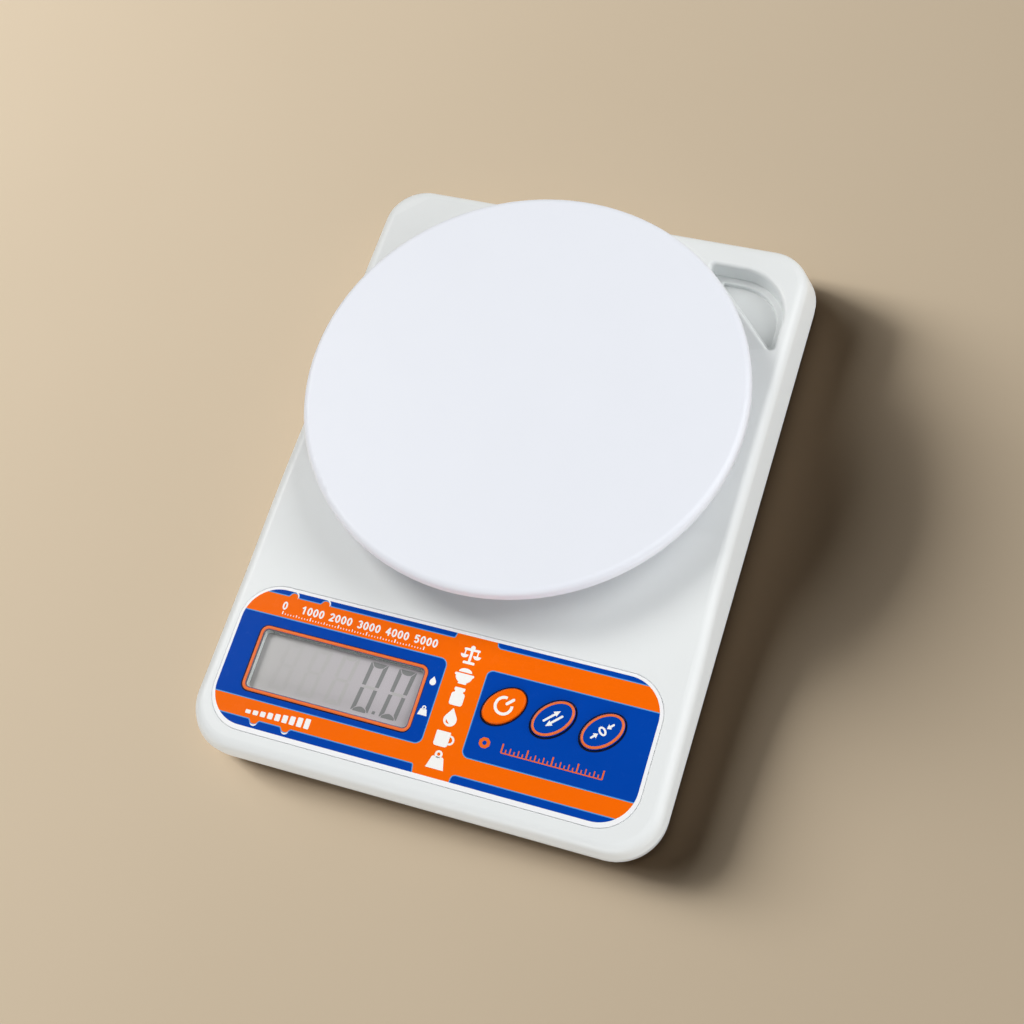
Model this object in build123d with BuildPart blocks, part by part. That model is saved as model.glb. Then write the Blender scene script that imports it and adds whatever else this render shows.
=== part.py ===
from build123d import *
from math import atan, cos, degrees, radians, sin, sqrt, tan
import os

os.makedirs("parts", exist_ok=True)

# ---------------------------------------------------------------------------
# Digital gram scale.
# Frame: origin at the bottom centre of the whole object's box, on the surface
# that the feet stand on. +X right, +Y to the rear, +Z up. Millimetres.
# The tray and the control panel lie side_x to the left of the housing's centre
# line. Everything is drawn about the tray's centre line, so the housing is drawn
# side_x to the right, and write() moves each part into the object's frame.
# ---------------------------------------------------------------------------

# housing
body_w = 163.0          # width at the parting line
body_l = 222.2          # length at the parting line
body_r = 17.0           # plan corner radius at the parting line
z_under = 2.5           # underside of the housing
z_floor = 4.5           # inner face of the floor
z_part = 8.0            # parting line between the two shells
z_top = 20.5            # flat top round the tray
wall = 2.2
draft_top = 15.0        # side wall draft above the parting line, degrees
draft_low = 6.0         # and below it
edge_r = 4.0            # rounding of the top edge
side_x = 1.5            # housing's centre line, from the tray's

y_front = -body_l / 2

# sloping control panel: a plane that rises to the rear by 1 in 20
panel_slope = 0.05
panel_y = y_front + 32.6
panel_z = 15.0
panel_a = atan(panel_slope)
panel = Plane(origin=(0, panel_y, panel_z), x_dir=(1, 0, 0),
              z_dir=(0, -sin(panel_a), cos(panel_a)))


def panel_height(y):
    return panel_z + panel_slope * (y - panel_y)


ramp_y0 = y_front + 61.0        # the panel plane ends here
ramp_y1 = y_front + 95.0        # and the flat top starts here
ramp_r0, ramp_r1 = 250.0, 240.0

# weighing tray
tray_y = 29.0
tray_r = 75.9
tray_z = 36.0
tray_rim_h = 4.9
tray_skin = 2.4
tray_edge_r = 2.3
hub_r = 51.8
hub_in = 50.0
hub_z = 24.2

# tray support
support_r = 49.7
support_z0, support_z1 = 23.4, 25.6
tray_travel = 0.8

# load cell (double bending beam)
cell_l, cell_w, cell_h = 47.0, 12.0, 6.0
cell_z = 7.5
cell_holes = (12.5, 19.5)

# printed overlay, in panel coordinates (x, y about the panel's origin)
ov_w, ov_h, ov_r = 147.4, 50.6, 13.5
ov_y = -0.1
ov_t = 0.5
recess_gap = 0.15
recess_d = 0.45
recess_lip_r = 0.3
skin_under = -2.5               # inner face of the shell under the panel

# display
win_x, win_y = -34.25, -0.55
win_w, win_h, win_r = 57.9, 20.7, 1.6
glass_w, glass_h, glass_t = 62.0, 25.6, 2.4

# buttons
btn_x = (23.5, 40.1, 56.5)
btn_y = 4.3
btn_a, btn_b = 7.6, 5.05         # half length and half width of the oval caps
btn_gap = 0.3                   # clearance round a cap
btn_tilt = 44.0                 # turn of the ovals in the panel, degrees
btn_top = 1.1
btn_travel = 0.5

# main board
board_z0, board_z1 = -8.3, -6.9
board_w, board_h = 138.0, 41.0
board_x, board_y = -0.5, 0.5
board_posts = [(-65.5, 17.6), (66.0, 17.6), (66.0, -17.3), (-65.5, -17.3), (3.5, -17.3)]

# finger recess, rear right corner: rear side, right side and a 45 degree inner side
hole_rear = y_front + 209.4
hole_right = 74.9
hole_sum = 253.0 + y_front      # inner side lies on x + y = hole_sum
hole_outer_r = 18.0
hole_wall = 1.8
hole_lip_r = 1.4
hole_lip_wall = 2.6
hole_step = 2.4
z_hole_split = 13.0
z_hole_floor = 11.0
hole_web = 1.8

# battery bay, two AAA cells lying across the scale
bay_x = 25.5
bay_y0 = y_front + 167.5
bay_y1 = y_front + 190.1
bay_roof = 15.4
bay_wall = 1.5
cell_r, cell_len = 5.25, 44.5
battery_y = (y_front + 173.2, y_front + 184.4)
battery_z = 9.75
door_x = 27.1
door_y0 = bay_y0 - 1.6
door_y1 = bay_y1 + 1.6
door_z1 = 4.05
door_gap = 0.2

# feet
foot_r = 6.0
foot_xy = [(-63.0, y_front + 22.0), (63.0, y_front + 22.0),
           (-62.0, y_front + 162.0), (62.0, y_front + 162.0)]

# case screws
case_xy = [(-74.0, y_front + 13.4), (74.4, y_front + 13.4),
           (-73.4, y_front + 100.0), (74.4, y_front + 100.0),
           (-69.0, y_front + 208.5), (32.0, y_front + 212.5)]
z_boss = 7.0


# ---------------------------------------------------------------------------
# shared shapes
# ---------------------------------------------------------------------------
def side_profile(drop):
    """Closed side view of the housing above the parting line, lowered by drop."""
    with BuildSketch(Plane.YZ.offset(-100)) as side:
        with BuildLine():
            top = FilletPolyline(
                (y_front - 8, panel_height(y_front - 8) - drop),
                (ramp_y0, panel_height(ramp_y0) - drop),
                (ramp_y1, z_top - drop),
                (-y_front + 8, z_top - drop),
                radius=[ramp_r0, ramp_r1])
            Polyline(top @ 1, (-y_front + 8, z_part - 4), (y_front - 8, z_part - 4), top @ 0)
        make_face()
    return side.sketch


def hole_face(plane, grow):
    """The finger recess's outline, grown outwards by grow, on a plane at its height."""
    r = max(hole_outer_r + grow, 1.0)
    x1, y1 = hole_right + grow, hole_rear + grow
    s = hole_sum - grow * sqrt(2)
    with BuildSketch(plane) as outline:
        with BuildLine():
            FilletPolyline((s - y1, y1), (x1, y1), (x1, s - x1), radius=[r])
            Line((x1, s - x1), (s - y1, y1))
        make_face()
        ends = [v for v in outline.vertices()
                if abs(v.X + v.Y - s) < 0.01]
        fillet(ends, radius=max(1.4 + grow * 0.4, 0.6))
    return outline.sketch


def rod(points, radius):
    """A lead along straight runs joined by tangent arcs."""
    pts = [Vector(*p) for p in points]
    radii = []
    for a, b, c in zip(pts, pts[1:], pts[2:]):
        turn = radians((b - a).get_angle(c - b))
        radii.append(0.45 * min((b - a).length, (c - b).length) / tan(turn / 2))
    print("   lead radii", [round(v, 1) for v in radii])
    with BuildPart() as lead:
        with BuildLine() as path:
            FilletPolyline(*points, radius=radii)
        with BuildSketch(Plane(origin=path.line @ 0, z_dir=path.line % 0)):
            Circle(radius)
        sweep()
    length = sum(e.length for e in path.line.edges())
    print("   lead length", round(length, 1), "volume ratio",
          round(lead.part.volume / (3.14159265 * radius ** 2 * length), 4))
    return lead.part


def write_part(part, label):
    """Move a part from the tray's centre line into the object's frame and export it."""
    placed = Pos(-side_x, 0, 0) * part
    placed.label = label
    export_step(placed, f"parts/{label}.step")
    print(label, len(placed.solids()), round(placed.volume, 2))


def write(builder, label):
    write_part(builder.part, label)


# ---------------------------------------------------------------------------
# top shell
# ---------------------------------------------------------------------------
with BuildPart() as inside:
    with BuildSketch(Plane.XY.offset(z_part)):
        with Locations((side_x, 0)):
            RectangleRounded(body_w - 2 * wall, body_l - 2 * wall, body_r - wall)
    extrude(amount=z_top - z_part + 3, taper=draft_top)
    extrude(side_profile(wall), amount=200, mode=Mode.INTERSECT)

with BuildPart() as top_shell:
    with BuildSketch(Plane.XY.offset(z_part)):
        with Locations((side_x, 0)):
            RectangleRounded(body_w, body_l, body_r)
    extrude(amount=z_top - z_part + 3, taper=draft_top)
    extrude(side_profile(0.0), amount=200, mode=Mode.INTERSECT)
    # round the whole top edge
    rim = top_shell.faces().filter_by(lambda f: f.normal_at(f.center()).Z > 0.9).edges()
    side = top_shell.faces().filter_by(
        lambda f: abs(f.normal_at(f.center()).Z) < 0.5).edges()
    loop = [e for e in rim if any(e.is_same(s) for s in side)]
    fillet(loop, radius=edge_r)
    # hollow
    add(inside.part, mode=Mode.SUBTRACT)
    # wall round the finger recess, down to the split with the lower shell, thicker
    # under its rounded lip
    extrude(hole_face(Plane.XY.offset(z_hole_split), hole_wall), amount=z_top - wall / 2 - z_hole_split)
    extrude(hole_face(Plane.XY.offset(z_top - wall - 1.2), hole_lip_wall), amount=wall + 0.2)
    # rear case screw posts and side posts, from the split up to the skin
    with BuildSketch(Plane.XY.offset(z_boss)):
        with Locations(*case_xy):
            Circle(3.2)
    extrude(until=Until.NEXT)
    # posts for the main board, square to the panel
    with BuildSketch(panel.offset(board_z1)):
        with Locations(*board_posts):
            Circle(2.6)
    extrude(amount=skin_under - board_z1 + 0.4)
    # recess for the overlay, with a softened lip
    with BuildSketch(panel.offset(-recess_d)):
        with Locations((0, ov_y)):
            RectangleRounded(ov_w + 2 * recess_gap, ov_h + 2 * recess_gap, ov_r + recess_gap)
    extrude(amount=6, mode=Mode.SUBTRACT)
    lip = [e for e in top_shell.edges()
           if abs(panel.to_local_coords(e.center()).Z) < 0.13
           and abs(panel.to_local_coords(e.center()).X) < ov_w / 2 + 0.4
           and abs(panel.to_local_coords(e.center()).Y - ov_y) < ov_h / 2 + 0.4]
    print("   recess lip edges", len(lip))
    fillet(lip, radius=recess_lip_r)
    # display window with a lens seat, and the three oval button holes
    with BuildSketch(panel.offset(-6)):
        with Locations((win_x, win_y)):
            RectangleRounded(win_w - 1.0, win_h - 1.0, win_r)
        with Locations(*[(x, btn_y) for x in btn_x]):
            Ellipse(btn_a + btn_gap, btn_b + btn_gap, rotation=btn_tilt)
    extrude(amount=8, mode=Mode.SUBTRACT)
    with BuildSketch(panel.offset(-1.9)):
        with Locations((win_x, win_y)):
            RectangleRounded(win_w + 0.8, win_h + 0.8, win_r + 0.9)
    extrude(amount=3, mode=Mode.SUBTRACT)
    # finger recess, with a rounded lip
    extrude(hole_face(Plane.XY.offset(z_part - 2), 0.0), amount=z_top, mode=Mode.SUBTRACT)
    lip = [e for e in top_shell.edges()
           if abs(e.bounding_box().min.Z - z_top) < 0.01 and abs(e.bounding_box().max.Z - z_top) < 0.01
           and e.center().X > 38 and e.center().Y > 60
           and e.center().X < hole_right + 0.1 and e.center().Y < hole_rear + 0.1]
    print("   finger recess lip edges", len(lip))
    fillet(lip, radius=hole_lip_r)
    # opening for the tray support's post, with a raised collar
    with BuildSketch(Plane.XY.offset(z_top - wall - 0.6)):
        with Locations((16, tray_y)):
            RectangleRounded(26, 24, 4)
    extrude(amount=wall + 1.8)
    with BuildSketch(Plane.XY.offset(z_top - wall - 1)):
        with Locations((16, tray_y)):
            RectangleRounded(21, 19, 2.5)
    extrude(amount=6, mode=Mode.SUBTRACT)
    # four stops that catch the support when the scale is overloaded
    with BuildSketch(Plane.XY.offset(z_top - 1)):
        with Locations((0, tray_y)):
            with PolarLocations(41, 4, start_angle=45):
                Circle(3.0)
    extrude(amount=support_z0 - tray_travel - 0.1 - z_top + 1)
    # pilot holes
    with BuildSketch(Plane.XY.offset(z_boss)):
        with Locations(*case_xy[:2]):
            Circle(1.1)
    extrude(amount=4.4, mode=Mode.SUBTRACT)
    with BuildSketch(Plane.XY.offset(z_boss)):
        with Locations(*case_xy[2:]):
            Circle(1.1)
    extrude(amount=7.0, mode=Mode.SUBTRACT)
    with BuildSketch(panel.offset(board_z1)):
        with Locations(*board_posts):
            Circle(0.9)
    extrude(amount=3.6, mode=Mode.SUBTRACT)
write(top_shell, "top_shell")

# ---------------------------------------------------------------------------
# bottom shell
# ---------------------------------------------------------------------------
low_in = (z_part - z_under) * tan(radians(draft_low))
with BuildPart() as bottom_shell:
    with BuildSketch(Plane.XY.offset(z_under)):
        with Locations((side_x, 0)):
            RectangleRounded(body_w - 2 * low_in, body_l - 2 * low_in, body_r - low_in)
    extrude(amount=z_part - z_under, taper=-draft_low)
    fillet(bottom_shell.faces().sort_by(Axis.Z)[0].edges(), radius=1.8)
    with BuildSketch(Plane.XY.offset(z_floor)):
        with Locations((side_x, 0)):
            RectangleRounded(body_w - 2 * wall, body_l - 2 * wall, body_r - wall)
    extrude(amount=z_part, mode=Mode.SUBTRACT)
    # stiffening ribs on the floor
    with BuildSketch(Plane.XY.offset(z_floor - 0.2)):
        with Locations((-34, tray_y - 3), (34, tray_y - 3)):
            Rectangle(1.4, 84)
        with Locations((0, -43)):
            Rectangle(120, 1.4)
    extrude(amount=2.2)
    # load cell pedestal under the fixed end
    with BuildSketch(Plane.XY.offset(z_floor - 0.2)):
        with Locations((-16, tray_y)):
            RectangleRounded(15, 14, 1.5)
    extrude(amount=cell_z - z_floor + 0.2)
    # posts for the case screws
    with BuildSketch(Plane.XY.offset(z_floor - 0.2)):
        with Locations(*case_xy):
            Circle(4.0)
    extrude(amount=z_boss - z_floor + 0.2)
    # battery bay: walls and roof
    with BuildSketch(Plane.XY.offset(z_floor - 0.2)):
        with Locations((0, (bay_y0 + bay_y1) / 2)):
            Rectangle(2 * (bay_x + bay_wall), bay_y1 - bay_y0 + 2 * bay_wall)
    extrude(amount=bay_roof + bay_wall - z_floor + 0.2)
    # finger recess: wall from the underside up to the split, a web for its floor,
    # and a ledge round the floor
    extrude(hole_face(Plane.XY.offset(z_floor - 0.2), hole_wall), amount=z_hole_split - z_floor + 0.2)
    extrude(hole_face(Plane.XY.offset(z_under - 1), -0.4),
            amount=z_hole_floor - hole_web - z_under + 1, mode=Mode.SUBTRACT)
    extrude(hole_face(Plane.XY.offset(z_hole_floor), -hole_step), amount=z_top, mode=Mode.SUBTRACT)
    lip = [e for e in bottom_shell.edges()
           if abs(e.bounding_box().min.Z - z_hole_split) < 0.01
           and abs(e.bounding_box().max.Z - z_hole_split) < 0.01
           and e.center().X > 38 and e.center().Y > 60
           and e.center().X < hole_right - hole_step + 0.1
           and e.center().Y < hole_rear - hole_step + 0.1
           and e.center().X + e.center().Y > hole_sum + hole_step * sqrt(2) - 0.05]
    print("   ledge edges", len(lip))
    fillet(lip, radius=0.6)
    # battery bay: inside, door seat and the slots for the door's two hooks
    with BuildSketch(Plane.XY.offset(z_under - 1)):
        with Locations((0, (bay_y0 + bay_y1) / 2)):
            Rectangle(2 * bay_x, bay_y1 - bay_y0)
    extrude(amount=bay_roof - z_under + 1, mode=Mode.SUBTRACT)
    with BuildSketch(Plane.XY.offset(z_under - 1)):
        with Locations((0, (door_y0 + door_y1) / 2)):
            Rectangle(2 * (door_x + door_gap), door_y1 - door_y0 + 2 * door_gap)
    extrude(amount=door_z1 + 0.1 - z_under + 1, mode=Mode.SUBTRACT)
    with BuildSketch(Plane.XY.offset(door_z1)):
        with Locations((-18, bay_y1 + 1.0), (18, bay_y1 + 1.0)):
            Rectangle(7.0, 4.4)
    extrude(amount=3.6, mode=Mode.SUBTRACT)
    # finger scoop in front of the door's latch
    with BuildSketch(Plane.XY.offset(z_under - 1)):
        with Locations((0, door_y0 - 2.2)):
            RectangleRounded(16, 6.0, 2.5)
    extrude(amount=2.0, mode=Mode.SUBTRACT)
    # slots for the contacts' solder tabs in the bay's right end wall
    with BuildSketch(Plane.XY.offset(11.2)):
        with Locations(*[(bay_x + 1.0, y) for y in battery_y]):
            Rectangle(2.4, 3.0)
    extrude(amount=1.1, mode=Mode.SUBTRACT)
    # seats for the feet
    with BuildSketch(Plane.XY.offset(z_under - 1)):
        with Locations(*foot_xy):
            Circle(foot_r + 0.25)
    extrude(amount=1.8, mode=Mode.SUBTRACT)
    # case screws: head seats and clearance holes
    with BuildSketch(Plane.XY.offset(z_under - 1)):
        with Locations(*case_xy):
            Circle(2.8)
    extrude(amount=3.3, mode=Mode.SUBTRACT)
    with BuildSketch(Plane.XY.offset(z_under - 1)):
        with Locations(*case_xy):
            Circle(1.5)
    extrude(amount=10, mode=Mode.SUBTRACT)
    # load cell screws
    with BuildSketch(Plane.XY.offset(z_under + 0.8)):
        with Locations(*[(-x, tray_y) for x in cell_holes]):
            Circle(1.3)
    extrude(amount=8, mode=Mode.SUBTRACT)
write(bottom_shell, "bottom_shell")

# ---------------------------------------------------------------------------
# feet and case screws
# ---------------------------------------------------------------------------
with BuildPart() as rubber_feet:
    with BuildSketch(Plane.XY):
        with Locations(*foot_xy):
            Circle(foot_r)
    extrude(amount=z_under + 0.8)
    chamfer(rubber_feet.edges().group_by(Axis.Z)[0], length=0.6)
write(rubber_feet, "rubber_feet")

with BuildPart() as case_screws:
    with BuildSketch(Plane.XY.offset(3.0)):
        with Locations(*case_xy):
            Circle(2.5)
    extrude(amount=1.8)
    fillet(case_screws.edges().group_by(Axis.Z)[0], radius=0.5)
    with BuildSketch(Plane.XY.offset(4.8)):
        with Locations(*case_xy):
            Circle(1.3)
    extrude(amount=z_boss - 4.8)
    with BuildSketch(Plane.XY.offset(z_boss)):
        with Locations(*case_xy[:2]):
            Circle(1.08)
    extrude(amount=4.0)
    with BuildSketch(Plane.XY.offset(z_boss)):
        with Locations(*case_xy[2:]):
            Circle(1.08)
    extrude(amount=5.6)
    # cross recess
    with BuildSketch(Plane.XY.offset(3.0)):
        with Locations(*case_xy):
            Rectangle(2.6, 0.6)
            Rectangle(0.6, 2.6)
    extrude(amount=0.9, mode=Mode.SUBTRACT)
write(case_screws, "case_screws")

# ---------------------------------------------------------------------------
# weighing tray and its support
# ---------------------------------------------------------------------------
with BuildPart() as tray:
    with BuildSketch(Plane(origin=(0, tray_y, 0), x_dir=(1, 0, 0), z_dir=(0, -1, 0))) as section:
        with BuildLine():
            zb = tray_z - tray_rim_h
            Polyline((0, tray_z), (tray_r, tray_z), (tray_r, zb), (tray_r - 2.2, zb),
                     (tray_r - 2.2, tray_z - tray_skin), (hub_r, tray_z - tray_skin),
                     (hub_r, hub_z), (hub_in, hub_z), (hub_in, tray_z - tray_skin),
                     (0, tray_z - tray_skin), (0, tray_z))
        make_face()
        fillet([v for v in section.vertices() if abs(v.X - tray_r) < 0.01 and v.Y > zb + 1],
               radius=tray_edge_r)
        fillet([v for v in section.vertices() if abs(v.X - tray_r) < 0.01 and v.Y < zb + 0.1],
               radius=0.9)
    revolve(axis=Axis((0, tray_y, 0), (0, 0, 1)))
    # ribs between the hub and the rim
    with BuildSketch(Plane.XY.offset(tray_z - tray_skin - 2.6)):
        with Locations((0, tray_y)):
            with PolarLocations(62.6, 12):
                Rectangle(22.6, 1.2)
    extrude(amount=2.8)
write(tray, "tray")

with BuildPart() as tray_support:
    with BuildSketch(Plane.XY.offset(support_z0)):
        with Locations((0, tray_y)):
            Circle(support_r)
    extrude(amount=support_z1 - support_z0)
    # raised ring and cross that carry the tray's underside
    with BuildSketch(Plane.XY.offset(support_z1)):
        with Locations((0, tray_y)):
            Circle(44)
            Circle(42.4, mode=Mode.SUBTRACT)
            Rectangle(85.6, 1.8)
            Rectangle(1.8, 85.6)
            with GridLocations(29, 29, 2, 2):
                Circle(4.2)
    extrude(amount=tray_z - tray_skin - support_z1)
    # post that passes through the housing to the load cell's free end
    with BuildSketch(Plane.XY.offset(cell_z + cell_h)):
        with Locations((16, tray_y)):
            RectangleRounded(15, 13, 1.5)
    extrude(amount=support_z0 - cell_z - cell_h)
    with BuildSketch(Plane.XY.offset(cell_z + cell_h)):
        with Locations(*[(x, tray_y) for x in cell_holes]):
            Circle(1.5)
    extrude(amount=7.0, mode=Mode.SUBTRACT)
write(tray_support, "tray_support")

# ---------------------------------------------------------------------------
# load cell and its screws
# ---------------------------------------------------------------------------
with BuildPart() as load_cell:
    with BuildSketch(Plane.XY.offset(cell_z)):
        with Locations((0, tray_y)):
            Rectangle(cell_l, cell_w)
    extrude(amount=cell_h)
    with BuildSketch(Plane(origin=(0, tray_y - cell_w, cell_z + cell_h / 2),
                           x_dir=(1, 0, 0), z_dir=(0, 1, 0))):
        with Locations((-4.4, 0), (4.4, 0)):
            Circle(2.3)
        Rectangle(8.8, 1.6)
    extrude(amount=2 * cell_w, mode=Mode.SUBTRACT)
    with BuildSketch(Plane.XY.offset(cell_z)):
        with Locations(*[(x, tray_y) for x in cell_holes], *[(-x, tray_y) for x in cell_holes]):
            Circle(1.6)
    extrude(amount=cell_h, mode=Mode.SUBTRACT)
write(load_cell, "load_cell")

with BuildPart() as gauge_sealant:
    with BuildSketch(Plane.XY.offset(cell_z + cell_h)):
        with Locations((-1.0, tray_y)):
            RectangleRounded(15, 9, 2)
    extrude(amount=1.2)
    fillet(gauge_sealant.edges().group_by(Axis.Z)[-1], radius=0.5)
write(gauge_sealant, "gauge_sealant")

with BuildPart() as load_cell_base_screws:
    with BuildSketch(Plane.XY.offset(cell_z + cell_h)):
        with Locations(*[(-x, tray_y) for x in cell_holes]):
            Circle(2.6)
    extrude(amount=1.7)
    fillet(load_cell_base_screws.edges().group_by(Axis.Z)[-1], radius=0.6)
    with BuildSketch(Plane.XY.offset(z_under + 1.0)):
        with Locations(*[(-x, tray_y) for x in cell_holes]):
            Circle(1.26)
    extrude(amount=cell_z + cell_h - z_under - 1.0)
    with BuildSketch(Plane.XY.offset(cell_z + cell_h + 0.9)):
        with Locations(*[(-x, tray_y) for x in cell_holes]):
            Rectangle(2.8, 0.6)
            Rectangle(0.6, 2.8)
    extrude(amount=1.0, mode=Mode.SUBTRACT)
write(load_cell_base_screws, "load_cell_base_screws")

with BuildPart() as support_screws:
    with BuildSketch(Plane.XY.offset(cell_z - 1.5)):
        with Locations(*[(x, tray_y) for x in cell_holes]):
            Circle(2.6)
    extrude(amount=1.5)
    fillet(support_screws.edges().group_by(Axis.Z)[0], radius=0.5)
    with BuildSketch(Plane.XY.offset(cell_z)):
        with Locations(*[(x, tray_y) for x in cell_holes]):
            Circle(1.45)
    extrude(amount=cell_h + 6.0)
    with BuildSketch(Plane.XY.offset(cell_z - 1.5)):
        with Locations(*[(x, tray_y) for x in cell_holes]):
            Rectangle(2.8, 0.6)
            Rectangle(0.6, 2.8)
    extrude(amount=0.8, mode=Mode.SUBTRACT)
write(support_screws, "support_screws")

# ---------------------------------------------------------------------------
# control panel: overlay, lens, display, frame, elastomer strips, board
# ---------------------------------------------------------------------------
with BuildPart() as panel_overlay:
    with BuildSketch(panel.offset(-recess_d)):
        with Locations((0, ov_y)):
            RectangleRounded(ov_w, ov_h, ov_r)
        with Locations((win_x, win_y)):
            RectangleRounded(win_w, win_h, win_r, mode=Mode.SUBTRACT)
        with Locations(*[(x, btn_y) for x in btn_x]):
            Ellipse(btn_a + btn_gap, btn_b + btn_gap, rotation=btn_tilt, mode=Mode.SUBTRACT)
    extrude(amount=ov_t)
write(panel_overlay, "panel_overlay")

with BuildPart() as display_lens:
    with BuildSketch(panel.offset(-1.9)):
        with Locations((win_x, win_y)):
            RectangleRounded(win_w + 0.6, win_h + 0.6, win_r + 0.8)
    extrude(amount=1.25)
write(display_lens, "display_lens")

lcd_top = skin_under - 0.05
with BuildPart() as lcd_glass:
    with BuildSketch(panel.offset(lcd_top - glass_t)):
        with Locations((win_x, win_y)):
            Rectangle(glass_w, glass_h)
    extrude(amount=glass_t)
write(lcd_glass, "lcd_glass")

with BuildPart() as lcd_frame:
    with BuildSketch(panel.offset(board_z1)):
        with Locations((win_x, win_y)):
            RectangleRounded(glass_w + 2.4, glass_h + 2.4, 0.8)
            Rectangle(glass_w + 0.2, glass_h + 0.2, mode=Mode.SUBTRACT)
    extrude(amount=lcd_top - board_z1)
    with BuildSketch(panel.offset(board_z1)):
        with Locations((win_x, win_y)):
            Rectangle(glass_w + 0.6, glass_h + 0.6)
            Rectangle(glass_w - 6, glass_h - 6, mode=Mode.SUBTRACT)
            with Locations((0, glass_h / 2 - 1.5), (0, -glass_h / 2 + 1.5)):
                Rectangle(glass_w - 5, 2.2, mode=Mode.SUBTRACT)
    extrude(amount=lcd_top - glass_t - board_z1 - 0.05)
write(lcd_frame, "lcd_frame")

with BuildPart() as elastomer_strips:
    with BuildSketch(panel.offset(board_z1)):
        with Locations((win_x, win_y + glass_h / 2 - 1.5), (win_x, win_y - glass_h / 2 + 1.5)):
            Rectangle(glass_w - 6, 1.9)
    extrude(amount=lcd_top - glass_t - board_z1)
write(elastomer_strips, "elastomer_strips")

with BuildPart() as main_board:
    with BuildSketch(panel.offset(board_z0)):
        with Locations((board_x, board_y)):
            RectangleRounded(board_w, board_h, 1.5)
        with Locations(*board_posts):
            Circle(1.15, mode=Mode.SUBTRACT)
    extrude(amount=board_z1 - board_z0)
write(main_board, "main_board")

with BuildPart() as controller_blob:
    with BuildSketch(panel.offset(board_z1)):
        with Locations((35.0, -11.0)):
            Circle(5.5)
    extrude(amount=1.5)
    fillet(controller_blob.edges().group_by(SortBy.LENGTH)[-1].sort_by(Axis.Z)[-1:], radius=1.2)
write(controller_blob, "controller_blob")

with BuildPart() as board_screws:
    with BuildSketch(panel.offset(board_z0 - 1.2)):
        with Locations(*board_posts):
            Circle(1.9)
    extrude(amount=1.2)
    with BuildSketch(panel.offset(board_z0)):
        with Locations(*board_posts):
            Circle(0.88)
    extrude(amount=4.4)
write(board_screws, "board_screws")

with BuildPart() as button_switches:
    with BuildSketch(panel.offset(board_z1)):
        with Locations(*[(x, btn_y) for x in btn_x]):
            RectangleRounded(6.0, 6.0, 0.6)
    extrude(amount=2.0)
    with BuildSketch(panel.offset(board_z1 + 0.7)):
        with Locations(*[(x, btn_y) for x in btn_x]):
            Circle(1.75)
    extrude(amount=2.0, mode=Mode.SUBTRACT)
write(button_switches, "button_switches")

# each button: an oval cap with a retaining flange under the shell and a stem,
# and the plunger of its own switch
for label, bx in zip(("power_button", "unit_button", "tare_button"), btn_x):
    with BuildPart() as cap:
        with BuildSketch(panel.offset(skin_under - 1.1)):
            with Locations((bx, btn_y)):
                Ellipse(btn_a + 1.2, btn_b + 1.2, rotation=btn_tilt)
        extrude(amount=1.0)
        with BuildSketch(panel.offset(skin_under - 0.2)):
            with Locations((bx, btn_y)):
                Ellipse(btn_a, btn_b, rotation=btn_tilt)
        extrude(amount=btn_top - skin_under + 0.2)
        top_edge = cap.edges().filter_by(GeomType.ELLIPSE).filter_by(
            lambda e: abs(panel.to_local_coords(e.center()).Z - btn_top) < 0.01)
        fillet(top_edge, radius=0.55)
        with BuildSketch(panel.offset(skin_under - 1.1)):
            with Locations((bx, btn_y)):
                Ellipse(btn_a - 1.4, btn_b - 1.4, rotation=btn_tilt)
                Circle(1.9, mode=Mode.SUBTRACT)
        extrude(amount=2.4, mode=Mode.SUBTRACT)
        with BuildSketch(panel.offset(board_z1 + 2.6)):
            with Locations((bx, btn_y)):
                Circle(1.9)
        extrude(amount=skin_under - 1.0 - board_z1 - 2.6)
    write(cap, label)

for label, bx in zip(("power_switch_plunger", "unit_switch_plunger", "tare_switch_plunger"), btn_x):
    with BuildPart() as plunger:
        with BuildSketch(panel.offset(board_z1 + 1.25)):
            with Locations((bx, btn_y)):
                Circle(1.7)
        extrude(amount=1.35)
    write(plunger, label)

# ---------------------------------------------------------------------------
# battery bay: cells, contacts and door
# ---------------------------------------------------------------------------
def contact_leaf(sign, y, width=6.0):
    """A V leaf against an end wall that presses on a cell's end."""
    x = bay_x - 0.55
    tip = cell_len / 2 + 0.05
    with BuildSketch(Plane(origin=(0, y - width / 2, 0), x_dir=(1, 0, 0), z_dir=(0, -1, 0))) as leaf:
        with BuildLine():
            Polyline((sign * x, 13.6), (sign * tip, 10.4), (sign * tip, 9.1), (sign * x, 5.9),
                     (sign * x, 6.5), (sign * (tip + 0.4), 9.3), (sign * (tip + 0.4), 10.2),
                     (sign * x, 13.0), (sign * x, 13.6))
        make_face()
    return leaf.sketch


with BuildPart() as battery_cells:
    for y, sign in zip(battery_y, (1, -1)):
        with BuildSketch(Plane(origin=(-sign * cell_len / 2, y, battery_z),
                               x_dir=(0, 1, 0), z_dir=(sign, 0, 0))):
            Circle(cell_r)
        extrude(amount=cell_len - 1.0)
        with BuildSketch(Plane(origin=(sign * (cell_len / 2 - 1.0), y, battery_z),
                               x_dir=(0, 1, 0), z_dir=(sign, 0, 0))):
            Circle(1.9)
        extrude(amount=1.0)
    fillet(battery_cells.edges().filter_by(GeomType.CIRCLE).filter_by(lambda e: abs(e.radius - cell_r) < 0.01),
           radius=0.5)
write(battery_cells, "battery_cells")

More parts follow.
